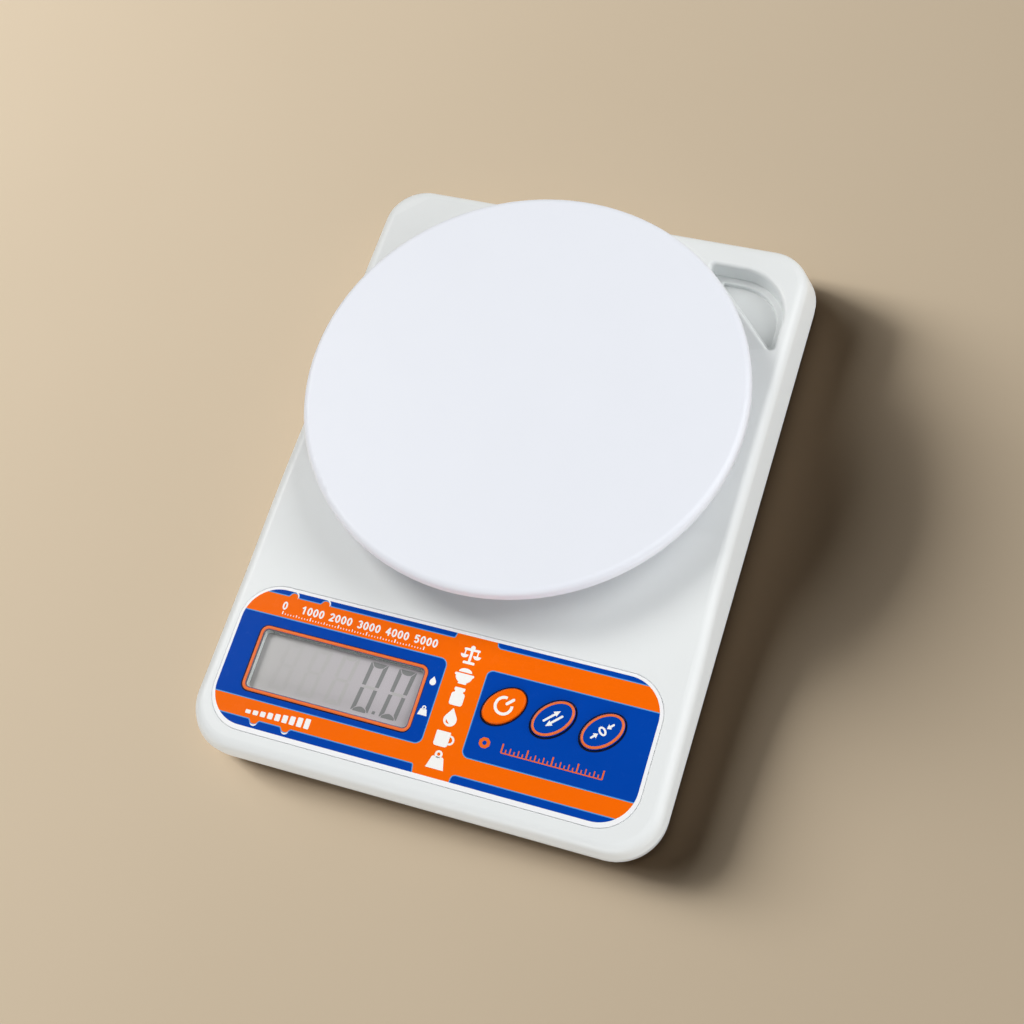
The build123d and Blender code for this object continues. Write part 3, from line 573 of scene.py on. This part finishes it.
def with_edge(name, poly, level, width=0.34, holes=()):
    """A blue field with a thin pale blue edge line round it."""
    out = offset_poly(poly, -width)
    prints_cut(name + "_edge", clip(poly, inner), list(holes), CYAN, level - 0.01, thick=0.04)
    prints_cut(name, clip(out, inner), list(holes), BLUE, level, thick=0.05)


X_L, X_R = -80.0, 80.0
# main fields: left with rounded right corners, right with rounded left corners
with_edge("print_field_left", box_pts(X_L, -14.6, 1.05, 14.85, (2.6, 2.6, 0, 0)), FILM_TOP + 0.05, holes=[window])
with_edge("print_field_right", box_pts(14.7, -14.9, X_R, 14.85, (0, 0, 2.2, 2.6)), FILM_TOP + 0.05, holes=key_holes)


# thin bands along the top and bottom edges, cut away at the middle bar,
# with two small orange bumps in each left-hand band
def bump(cx, y, sgn, h=1.45, half=1.85):
    """Rounded tab outline from left to right, rising by h towards sgn."""
    pts = [(cx - half, y)]
    for i in range(9):
        a = pi - pi * i / 8
        pts.append((cx + 1.25 * cos(a), y + sgn * (h - 0.75 + 0.75 * sin(a))))
    pts.append((cx + half, y))
    return pts


def band(x0, x1, y, sgn, bumps=(), cut=1.3, cut_side=1):
    """Outline of a band from y outwards (sgn +1 up, -1 down), slanted where it meets the middle bar."""
    far = 40 * sgn
    line = []
    for bx in sorted(bumps):
        line += bump(bx, y, sgn)
    if cut_side > 0:
        pts = [(x0, y)] + line + [(x1 - cut * 0.3, y), (x1, y + sgn * 0.5), (x1 + 0.5, y + sgn * 3), (x1 + 0.5, far), (x0, far)]
    else:
        pts = [(x0, y + sgn * 1.4), (x0 + 0.35, y + sgn * 0.5), (x0 + 1.3, y)] + line + [(x1, y), (x1, far), (x0 - 0.9, far)]
    return pts if sgn > 0 else pts[::-1]


with_edge("print_band_top_left", band(X_L, 0.9, 22.25, 1, bumps=(-57.3, -45.7)), FILM_TOP + 0.05)
with_edge("print_band_top_right", band(15.2, X_R, 22.25, 1, cut_side=-1), FILM_TOP + 0.05)
with_edge("print_band_low_left", band(X_L, 0.7, -20.75, -1, bumps=(-55.7, -44.4)), FILM_TOP + 0.05)
with_edge("print_band_low_right", band(13.7, X_R, -20.9, -1, cut_side=-1), FILM_TOP + 0.05)


def crescent(cx, cy, r, a0, a1, w, n=12):
    """A thin curved lick that tapers at both ends."""
    out, inn = [], []
    for i in range(n + 1):
        t = i / n
        a = a0 + (a1 - a0) * t
        h = w * sin(pi * t) / 2
        out.append((cx + (r + h) * cos(a), cy + (r + h) * sin(a)))
        inn.append((cx + (r - h) * cos(a), cy + (r - h) * sin(a)))
    return out + inn[::-1]


licks = [crescent(cx, 22.25 + 0.5, 1.45, radians(-25), radians(95), 0.5) for cx in (-57.3, -45.7)]
licks += [crescent(cx, -20.75 - 0.5, 1.45, radians(-140), radians(-20), 0.5) for cx in (-55.7, -44.4)]
prints("print_tab_licks", licks, INKW, FILM_TOP + 0.07, thick=0.04)


# display surround: a painted shadow line, then a raised orange bead round the window
def bead(name, w, h, r, width, rise, mat, level, body="housing"):
    """A half-round bead along a rounded rectangle."""
    secs = 9
    loops = []
    for k in range(secs):
        t = pi * k / (secs - 1)
        loops.append((-width / 2 * cos(t), level + rise * sin(t)))
    loops.append((width / 2, level - 0.06))
    loops.append((-width / 2, level - 0.06))
    v, f = [], []
    n = None
    for off, lev in loops:
        pts = rounded(WX, WY, w + 2 * off, h + 2 * off, r + off, 8)
        n = len(pts)
        v += [on_panel(x, y, lev) for x, y in pts]
    k = len(loops)
    for s_ in range(k):
        s2 = (s_ + 1) % k
        for i in range(n):
            j = (i + 1) % n
            f.append((s_ * n + i, s2 * n + i, s2 * n + j, s_ * n + j))
    return mesh_object(name, v, f, mat, body, smooth=True)


# painted shadow: a dark ring, set a little down and to the left, outside the bead round the window
ring("print_window_shade", rounded(WX - 0.12, WY - 0.1, WW + 2.9, WH + 2.9, WR + 1.4, 8), rounded(WX, WY, WW + 1.4, WH + 1.4, WR + 0.7, 8),
     PAINTED_SHADOW, FILM_TOP + 0.06, thick=0.04)
bead("window_bead", WW + 1.2, WH + 1.2, WR + 0.6, 1.05, 0.26, BEAD, FILM_TOP + 0.05)

# --------------------------------------------------------------------------
# display: dark grey liners on the window walls, painted shade for the walls' shadow, then the segments under the lens
# --------------------------------------------------------------------------
LCD_TOP = -2.55
# painted shade: dark grey sleeves on the window walls stand in for the shadow the walls cast on the display
PAINTED_SHADE_LINER = plastic("painted_shade_liner_grey", (0.155, 0.158, 0.155), rough=0.7, grain=0.0005, grain_h=0.25, mottle=0.08, spec=0.2, wear=0.0, painted_hollow_shade=0.0)
ring("window_painted_shade_upper", rounded(WX, WY, WW - 0.02, WH - 0.02, WR, 8), rounded(WX, WY, WW - 0.36, WH - 0.36, WR - 0.17, 8),
     PAINTED_SHADE_LINER, 0.02, thick=0.65)
ring("window_painted_shade_lower", rounded(WX, WY, WW - 0.02, WH - 0.02, WR, 8), rounded(WX, WY, WW - 0.9, WH - 0.9, WR - 0.44, 8),
     PAINTED_SHADE_LINER, -1.92, thick=0.6)


def digit_segments(x, y, w, h, t, slant, on):
    """Seven-segment figure. x, y is its lower left corner. Returns (lit, unlit) polygons."""
    g = 0.26
    m_ = h / 2

    def sl(p):
        return (x + p[0] + p[1] * slant, y + p[1])

    def arc(x0, x1, y0, rise, n=8):
        return [(x0 + (x1 - x0) * i / n, y0 + rise * sin(pi * i / n)) for i in range(n + 1)]
    segs = {
        "a": [(g + 0.25, h), (w - g - 0.25, h)] + arc(w - t - g * 0.3, t + g * 0.3, h - t * 0.95, -0.35),
        "d": arc(g + t * 0.45, w - g - t * 0.45, t * 0.55, 1.0) + [(w - g - 0.5, 0), (g + 0.5, 0)],
        "f": [(0, h - g), (0.25, h - 0.1), (t, h - t - g), (t, m_ + 0.5), (0.1, m_ + 0.5)],
        "b": [(w, h - g), (w - 0.25, h - 0.1), (w - t, h - t - g), (w - t, m_ + 0.5), (w - 0.1, m_ + 0.5)],
        "e": [(0, g), (0.3, 0.15), (t, t + g), (t, m_ - 0.5), (0.1, m_ - 0.5)],
        "c": [(w, g), (w - 0.3, 0.15), (w - t, t + g), (w - t, m_ - 0.5), (w - 0.1, m_ - 0.5)],
        "g": [(g * 1.2 + t * 0.2, m_), (t, m_ + t * 0.35), (w - t, m_ + t * 0.35), (w - g * 1.2 - t * 0.2, m_), (w - t, m_ - t * 0.35), (t, m_ - t * 0.35)],
    }
    lit, unlit = [], []
    for k, pts in segs.items():
        (lit if k in on else unlit).append([sl(p) for p in pts])
    return lit, unlit


lit, ghost = [], []
dh, dt, dw, dy, ds = 17.2, 1.42, 6.15, -8.85, 0.104
for dx, on in [(-16.45, "abcdef"), (-26.45, "abcdef"), (-36.45, ""), (-46.45, ""), (-56.45, "")]:
    a, b = digit_segments(dx, dy, dw, dh, dt, ds, on)
    lit += a
    ghost += b
prints("lcd_digits", lit, DIGIT, LCD_TOP + 0.05, thick=0.04)
prints("lcd_unlit_segments", ghost, GHOST, LCD_TOP + 0.03, thick=0.02)
prints("lcd_point", [[(-19.0, -8.5), (-17.95, -8.5), (-17.85, -7.45), (-18.9, -7.45)]], DIGIT, LCD_TOP + 0.05, thick=0.04)


# --------------------------------------------------------------------------
# generic marks: strokes and plain pictograms drawn as closed flat shapes
# --------------------------------------------------------------------------
def bar(p, q, w, n=5, square=False):
    """A stroke from p to q with round or square ends."""
    dx, dy_ = q[0] - p[0], q[1] - p[1]
    l = hypot(dx, dy_) or 1e-6
    ux, uy = dx / l, dy_ / l
    if square:
        a, b = -uy * w / 2, ux * w / 2
        return [(p[0] - a, p[1] - b), (q[0] - a, q[1] - b), (q[0] + a, q[1] + b), (p[0] + a, p[1] + b)]
    a0 = atan2(uy, ux)
    pts = []
    for i in range(n + 1):
        a = a0 - pi / 2 + pi * i / n
        pts.append((q[0] + w / 2 * cos(a), q[1] + w / 2 * sin(a)))
    for i in range(n + 1):
        a = a0 + pi / 2 + pi * i / n
        pts.append((p[0] + w / 2 * cos(a), p[1] + w / 2 * sin(a)))
    return pts


def arc_band(cx, cy, rx, ry, a0, a1, w, n=24):
    """An open arc as one closed band."""
    outer = [(cx + (rx + w / 2) * cos(a0 + (a1 - a0) * i / n), cy + (ry + w / 2) * sin(a0 + (a1 - a0) * i / n)) for i in range(n + 1)]
    inn = [(cx + (rx - w / 2) * cos(a0 + (a1 - a0) * i / n), cy + (ry - w / 2) * sin(a0 + (a1 - a0) * i / n)) for i in range(n + 1)]
    return outer + inn[::-1]


def shifted(poly, cx, cy, k=1.0, turn=0.0):
    c_, s_ = cos(turn), sin(turn)
    return [(cx + k * (x * c_ - y * s_), cy + k * (x * s_ + y * c_)) for x, y in poly]


FIG = {
    "0": "abcdef", "1": "bc", "2": "abged", "3": "abgcd", "4": "fgbc", "5": "afgcd",
    "6": "afgedc", "7": "abc", "8": "abcdefg", "9": "abcfgd",
}


def figure(ch, x, y, w, h, sw):
    """A stroke numeral on a seven-segment skeleton; nought is an oval ring."""
    if ch == "0":
        return [(arc_band(x + w / 2, y + h / 2, w / 2, h / 2, radians(-90), radians(90), sw)),
                (arc_band(x + w / 2, y + h / 2, w / 2, h / 2, radians(90), radians(270), sw))]
    if ch == "1":
        return [bar((x + w * 0.6, y), (x + w * 0.6, y + h), sw), bar((x + w * 0.1, y + h * 0.78), (x + w * 0.6, y + h), sw)]
    if ch == "2":
        return [arc_band(x + w / 2, y + h * 0.72, w / 2, h * 0.28, radians(165), radians(-25), sw, 14),
                bar((x + w * 0.95, y + h * 0.58), (x, y), sw), bar((x, y), (x + w, y), sw)]
    if ch == "3":
        return [arc_band(x + w / 2, y + h * 0.75, w * 0.46, h * 0.25, radians(160), radians(-90), sw, 14),
                arc_band(x + w / 2, y + h * 0.26, w * 0.5, h * 0.26, radians(90), radians(-160), sw, 14)]
    if ch == "5":
        return [bar((x + w * 0.95, y + h), (x + w * 0.1, y + h), sw), bar((x + w * 0.1, y + h), (x + w * 0.05, y + h * 0.55), sw),
                arc_band(x + w * 0.45, y + h * 0.31, w * 0.52, h * 0.31, radians(125), radians(-150), sw, 16)]
    if ch == "4":
        return [bar((x + w * 0.75, y), (x + w * 0.75, y + h), sw), bar((x + w * 0.75, y + h), (x, y + h * 0.33), sw),
                bar((x, y + h * 0.33), (x + w * 1.05, y + h * 0.33), sw)]
    P_ = {"a": ((0, h), (w, h)), "b": ((w, h), (w, h / 2)), "c": ((w, h / 2), (w, 0)), "d": ((0, 0), (w, 0)),
          "e": ((0, h / 2), (0, 0)), "f": ((0, h), (0, h / 2)), "g": ((0, h / 2), (w, h / 2))}
    return [bar((x + a[0], y + a[1]), (x + b[0], y + b[1]), sw) for a, b in (P_[s_] for s_ in FIG[ch])]


def numeral(text, cx, y, w, h, sw, gap):
    """Figures in a row, centred on cx."""
    total = len(text) * w + (len(text) - 1) * gap
    out = []
    for i, ch in enumerate(text):
        out += figure(ch, cx - total / 2 + i * (w + gap), y, w, h, sw)
    return out


MARK = FILM_TOP + 0.075
# graduation with numerals in the top orange band
tx0, tx1, ty = -59.3, -8.3, 15.75
ticks, nums = [], []
for i in range(51):
    x = tx0 + (tx1 - tx0) * i / 50
    hgt = 1.15 if i % 10 == 0 else (0.85 if i % 5 == 0 else 0.5)
    ticks.append(bar((x, ty), (x, ty + hgt), 0.36 if i % 10 == 0 else 0.26, square=True))
    if i % 10 == 0:
        nums += numeral(str(i * 100) if i else "0", x, ty + 1.95, 1.22, 2.3, 0.56, 0.92)
prints("print_marks_ticks", ticks, INKW, MARK, thick=0.04)
prints("print_marks_numerals", nums, INKW, MARK + 0.005, thick=0.04)

# rising load bars in the lower orange band
bars = []
for i in range(9):
    x = -59.6 + 2.62 * i
    bars.append(box_pts(x, -19.35, x + 1.8, -19.35 + 1.25 + 0.27 * i, 0.3, 4))
prints("print_marks_load_bars", bars, INKW, MARK, thick=0.04)


# pictograms of things that are weighed, down the middle bar
def pic_bowl():
    n = 18
    cup = [(-2.75 * cos(pi * i / n), -0.1 - 2.35 * sin(pi * i / n)) for i in range(n + 1)]
    heap = [(2.2 * cos(pi * i / n), 1.15 + 1.35 * sin(pi * i / n)) for i in range(n + 1)]
    return [cup, box_pts(-3.2, -0.15, 3.2, 0.7, 0.4, 4), heap, box_pts(-1.4, -2.75, 1.4, -2.1, 0.3, 4)], []


def pic_drop():
    pts = [(0, 3.15)]
    for i in range(25):
        a = radians(35 - 250 * i / 24)
        pts.append((2.15 * cos(a), -0.75 + 2.15 * sin(a)))
    return [], [(pts, [crescent(0, -0.75, 1.2, radians(180), radians(275), 0.55)])]


def pic_weight():
    body = [(-3.0, -2.85), (3.0, -2.85), (2.75, -2.2), (1.95, 0.75), (1.6, 1.1), (-1.6, 1.1), (-1.95, 0.75), (-2.75, -2.2)]
    return [body], [(disc(0, 1.85, 1.25, 24), [disc(0, 1.9, 0.55, 16)])]


def pic_mug():
    handle = arc_band(2.0, -0.1, 1.15, 1.25, radians(-100), radians(100), 0.62, 16)
    return [box_pts(-2.9, -2.6, 1.75, 2.3, (0.9, 0.2, 0.2, 0.9), 5), handle], []


def pic_jar():
    return [box_pts(-2.2, -2.9, 2.2, 1.35, (0.8, 0.9, 0.9, 0.8), 5), box_pts(-1.75, 1.9, 1.75, 3.0, 0.3, 4), box_pts(-1.35, 1.2, 1.35, 2.0, 0, 2)], []


def pic_balance():
    pan = [(1.3 * cos(pi + pi * i / 10), 1.15 * sin(pi + pi * i / 10)) for i in range(11)]
    return [box_pts(-0.42, -2.4, 0.42, 2.5, 0.1, 3), box_pts(-1.95, -3.0, 1.95, -2.15, 0.3, 4), bar((-2.3, 1.75), (2.3, 1.75), 0.8),
            shifted(pan, -2.1, 0.0), shifted(pan, 2.1, 0.0), bar((-2.1, 1.6), (-2.1, -0.1), 0.42), bar((2.1, 1.6), (2.1, -0.1), 0.42),
            disc(0, 2.45, 0.75, 20)], []


solid, cut = [], []
for i, pic in enumerate((pic_balance, pic_bowl, pic_jar, pic_drop, pic_mug, pic_weight)):
    cy = 17.9 - 7.15 * i
    a, b = pic()
    solid += [shifted(p, 7.75, cy, 1.03) for p in a]
    cut += [(shifted(p, 7.75, cy, 1.03), [shifted(h, 7.75, cy, 1.03) for h in hs]) for p, hs in b]
prints("print_pictograms", solid, INKW, MARK, thick=0.04)
prints_cut("print_pictograms_cut", cut, None, INKW, MARK, thick=0.04)

# two small marks beside the display
a, b = pic_drop()
prints_cut("print_unit_marks_cut", [(shifted(p, -1.75, 6.6, 0.5), []) for p, hs in b], None, INKW, MARK, thick=0.04)
a, b = pic_weight()
prints("print_unit_marks", [shifted(p, -1.75, -3.6, 0.55) for p in a], INKW, MARK, thick=0.04)
prints_cut("print_unit_marks_ring", [(shifted(p, -1.75, -3.6, 0.55), [shifted(h, -1.75, -3.6, 0.55) for h in hs]) for p, hs in b],
           None, INKW, MARK, thick=0.04)

# orange rule and indicator below the keys
rule = [bar((27.0, -10.35), (60.4, -10.35), 0.34, square=True)]
for i in range(25):
    x = 27.0 + 33.4 * i / 24
    rule.append(bar((x, -10.35), (x, -10.35 + (3.0 if i % 6 == 0 else (2.0 if i % 2 == 0 else 1.3))), 0.5 if i % 6 == 0 else 0.36, square=True))
prints("print_rule", rule, ORANGE2, MARK, thick=0.04)
prints_cut("print_indicator", [([(20.95 + 1.95 * cos(2 * pi * (i + 0.5) / 8), -8.6 + 1.85 * sin(2 * pi * (i + 0.5) / 8)) for i in range(8)], [disc(20.95, -8.6, 0.75, 20)])],
           None, ORANGE2, MARK, thick=0.04)

# --------------------------------------------------------------------------
# the keys: a white symbol on each cap, a raised coloured ring on the unit and tare caps, and a painted shadow ring
# round each key hole
# --------------------------------------------------------------------------
CAP_TOP = 1.1


def on_key(bx, x, y, w_):
    """A point in a key's own turned coordinates."""
    c_, s_ = cos(TILT), sin(TILT)
    return on_panel(bx + x * c_ - y * s_, BTN_Y + x * s_ + y * c_, w_)


def key_ring(name, bx, inset, width, rise, mat, body):
    """A half-round oval ring bedded in the cap, following its flat top and rounded edge."""
    def skin(off):
        d_ = min(max(off + 0.55, 0.0), 0.54)
        return CAP_TOP - (0.55 - sqrt(0.55 ** 2 - d_ ** 2))
    secs, n = 11, 96
    prof = []
    for k in range(secs):
        t = pi * k / (secs - 1)
        off = -inset - width / 2 * cos(t)
        prof.append((off, skin(off) - 0.03 + rise * sin(t)))
    prof += [(-inset + width / 2 - 0.12, skin(-inset + width / 2) - 0.16), (-inset - width / 2, CAP_TOP - 0.2)]
    v, f = [], []
    for off, lev in prof:
        v += [on_key(bx, x, y, lev) for x, y in oval_rim(BTN_A, BTN_B, off, n)]
    k = len(prof)
    for s_ in range(k):
        s2 = (s_ + 1) % k
        for i in range(n):
            j = (i + 1) % n
            f.append((s_ * n + i, s2 * n + i, s2 * n + j, s_ * n + j))
    return mesh_object(name, v, f, mat, body, smooth=True)


def key_symbol(name, bx, polys, cut, body):
    def at(x, y, w_):
        return on_key(bx, x, y, w_)
    if polys:
        prints(name, polys, INKW, CAP_TOP + 0.03, thick=0.05, place=at, body=body)
    if cut:
        prints_cut(name + "_cut", cut, None, INKW, CAP_TOP + 0.03, thick=0.05, place=at, body=body)


key_symbol("power_symbol", BTN_X[0], [arc_band(0, 0, 2.75, 2.75, radians(35), radians(325), 0.95, 40),
                                      bar((1.2, 0), (3.7, 0), 0.95)], None, "power_key")
key_symbol("unit_symbol", BTN_X[1], [
    bar((-2.9, 0.85), (1.7, 0.85), 0.72), [(1.2, 1.85), (3.3, 0.85), (1.2, -0.05)],
    bar((-1.7, -0.95), (2.9, -0.95), 0.72), [(-1.2, 0.0), (-3.3, -0.95), (-1.2, -1.95)]], None, "unit_key")
key_symbol("tare_symbol", BTN_X[2], [
    bar((-4.1, 0), (-2.6, 0), 0.66), [(-2.9, 0.95), (-1.55, 0), (-2.9, -0.95)],
    bar((4.1, 0), (2.6, 0), 0.66), [(2.9, -0.95), (1.55, 0), (2.9, 0.95)]],
    [([(1.15 * cos(2 * pi * i / 32), 1.65 * sin(2 * pi * i / 32)) for i in range(32)],
      [[(0.5 * cos(2 * pi * i / 32), 1.0 * sin(2 * pi * i / 32)) for i in range(32)]])], "tare_key")
key_ring("unit_key_ring", BTN_X[1], 0.52, 0.86, 0.15, BEAD, "unit_key")
key_ring("tare_key_ring", BTN_X[2], 0.52, 0.86, 0.15, BEAD, "tare_key")
# painted shadow: a dark ring, set a little down and to the left, round each key hole stands in for the raised cap's
# shadow
for nm, bx in zip(("power", "unit", "tare"), BTN_X):
    ring("print_" + nm + "_key_shade", oval(bx - 0.05, BTN_Y - 0.08, BTN_A + 0.72, BTN_B + 0.72),
         oval(bx, BTN_Y, BTN_A + BTN_GAP, BTN_B + BTN_GAP), PAINTED_SHADOW, FILM_TOP + 0.06, thick=0.04)

# --------------------------------------------------------------------------
# the load cell: copies of the beam and its sealant, cut into short lengths along X
# --------------------------------------------------------------------------
def bending(name, node, mat, start, end):
    """A copy of a CAD piece, cut into short lengths along X."""
    bm = bmesh.new()
    bm.from_mesh(N[node].data)
    bm.transform(N[node].matrix_world)
    steps = 14
    for i in range(steps + 1):
        x = start[0] + (end[0] - start[0]) * i / steps
        bmesh.ops.bisect_plane(bm, geom=bm.verts[:] + bm.edges[:] + bm.faces[:], plane_co=(x, 0, 0), plane_no=(1, 0, 0))
    me = bpy.data.meshes.new(name)
    bm.to_mesh(me)
    bm.free()
    ob = link(bpy.data.objects.new(name, me))
    me.materials.clear()
    me.materials.append(mat)
    for p in me.polygons:
        p.material_index = 0
        p.use_smooth = False
    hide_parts(node)
    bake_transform(ob)
    return ob


lo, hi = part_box("load_cell")
mid_x, mid_y, mid_z = [(a + b) / 2 for a, b in zip(lo, hi)]
for nm, node, mt in (("load_cell_beam", "load_cell", ALU), ("load_cell_sealant", "gauge_sealant", SEAL)):
    bending(nm, node, mt, (mid_x - 8.5 * MM, mid_y, mid_z), (mid_x + 8.5 * MM, mid_y, mid_z))

# --------------------------------------------------------------------------
# floor and light
# --------------------------------------------------------------------------
def floor_material():
    mt, nt, bs, out = new_mat("floor_pale")
    L = nt.links
    tc = nt.nodes.new("ShaderNodeTexCoord")
    n = nt.nodes.new("ShaderNodeTexNoise")
    n.inputs["Scale"].default_value = 6.0
    n.inputs["Detail"].default_value = 3.0
    L.new(tc.outputs["Object"], n.inputs["Vector"])
    mix = nt.nodes.new("ShaderNodeMix")
    mix.data_type = "RGBA"
    mix.inputs["A"].default_value = (0.412, 0.284, 0.174, 1)
    mix.inputs["B"].default_value = (0.436, 0.302, 0.188, 1)
    L.new(n.outputs["Fac"], mix.inputs["Factor"])
    L.new(mix.outputs["Result"], bs.inputs["Base Color"])
    bs.inputs["Roughness"].default_value = 0.9
    bs.inputs["Specular IOR Level"].default_value = 0.1
    return mt


me = bpy.data.meshes.new("floor")
s = 3.0
me.from_pydata([(-s, -s, 0), (s, -s, 0), (s, s, 0), (-s, s, 0)], [], [(0, 1, 2, 3)])
me.materials.append(floor_material())
floor = link(bpy.data.objects.new("floor", me))
floor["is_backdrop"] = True

only_floor = bpy.data.collections.new("lit_floor")
only_floor.objects.link(floor)
only_part = bpy.data.collections.new("lit_part")
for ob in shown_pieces():
    only_part.objects.link(ob)


def area(name, loc, size, power, color=(1, 1, 1), target=(0, 0, 0), size_y=None, lit=None):
    d = bpy.data.lights.new(name, "AREA")
    d.energy = power
    d.color = color
    d.size = size
    if size_y:
        d.shape = "RECTANGLE"
        d.size_y = size_y
    o = link(bpy.data.objects.new(name, d))
    o.location = loc
    dirv = Vector(target) - Vector(loc)
    o.rotation_euler = dirv.to_track_quat("-Z", "Y").to_euler()
    if lit:
        o.light_linking.receiver_collection = lit
    return o


area("floor_key", (-2.50, 0.34, 1.05), 0.95, 224.0, (0.722, 0.858, 1.0), lit=only_floor)
area("floor_soft", (-2.50, 0.46, 1.20), 2.40, 146.0, (0.722, 0.858, 1.0), lit=only_floor)
area("part_key", (-0.98, 0.34, 1.12), 0.60, 12.2, (1.0, 0.99, 0.97), lit=only_part)
area("part_right", (0.85, 0.48, 1.02), 0.80, 9.0, (0.99, 0.995, 1.0), lit=only_part)
area("part_side", (0.95, 0.10, 0.30), 0.60, 3.4, (0.99, 0.995, 1.0), lit=only_part)
area("part_top", (0.28, -0.15, 1.50), 0.80, 1.4, (0.98, 0.99, 1.0), lit=only_part)
area("part_front", (0.05, -1.05, 0.12), 0.80, 8.2, (0.97, 0.985, 1.0), lit=only_part)

w = bpy.data.worlds.new("world")
bpy.context.scene.world = w
w.use_nodes = True
bg = w.node_tree.nodes["Background"]
bg.inputs[0].default_value = (1.0, 0.99, 0.97, 1)
bg.inputs[1].default_value = 0.05
bpy.context.scene.view_settings.view_transform = "Standard"
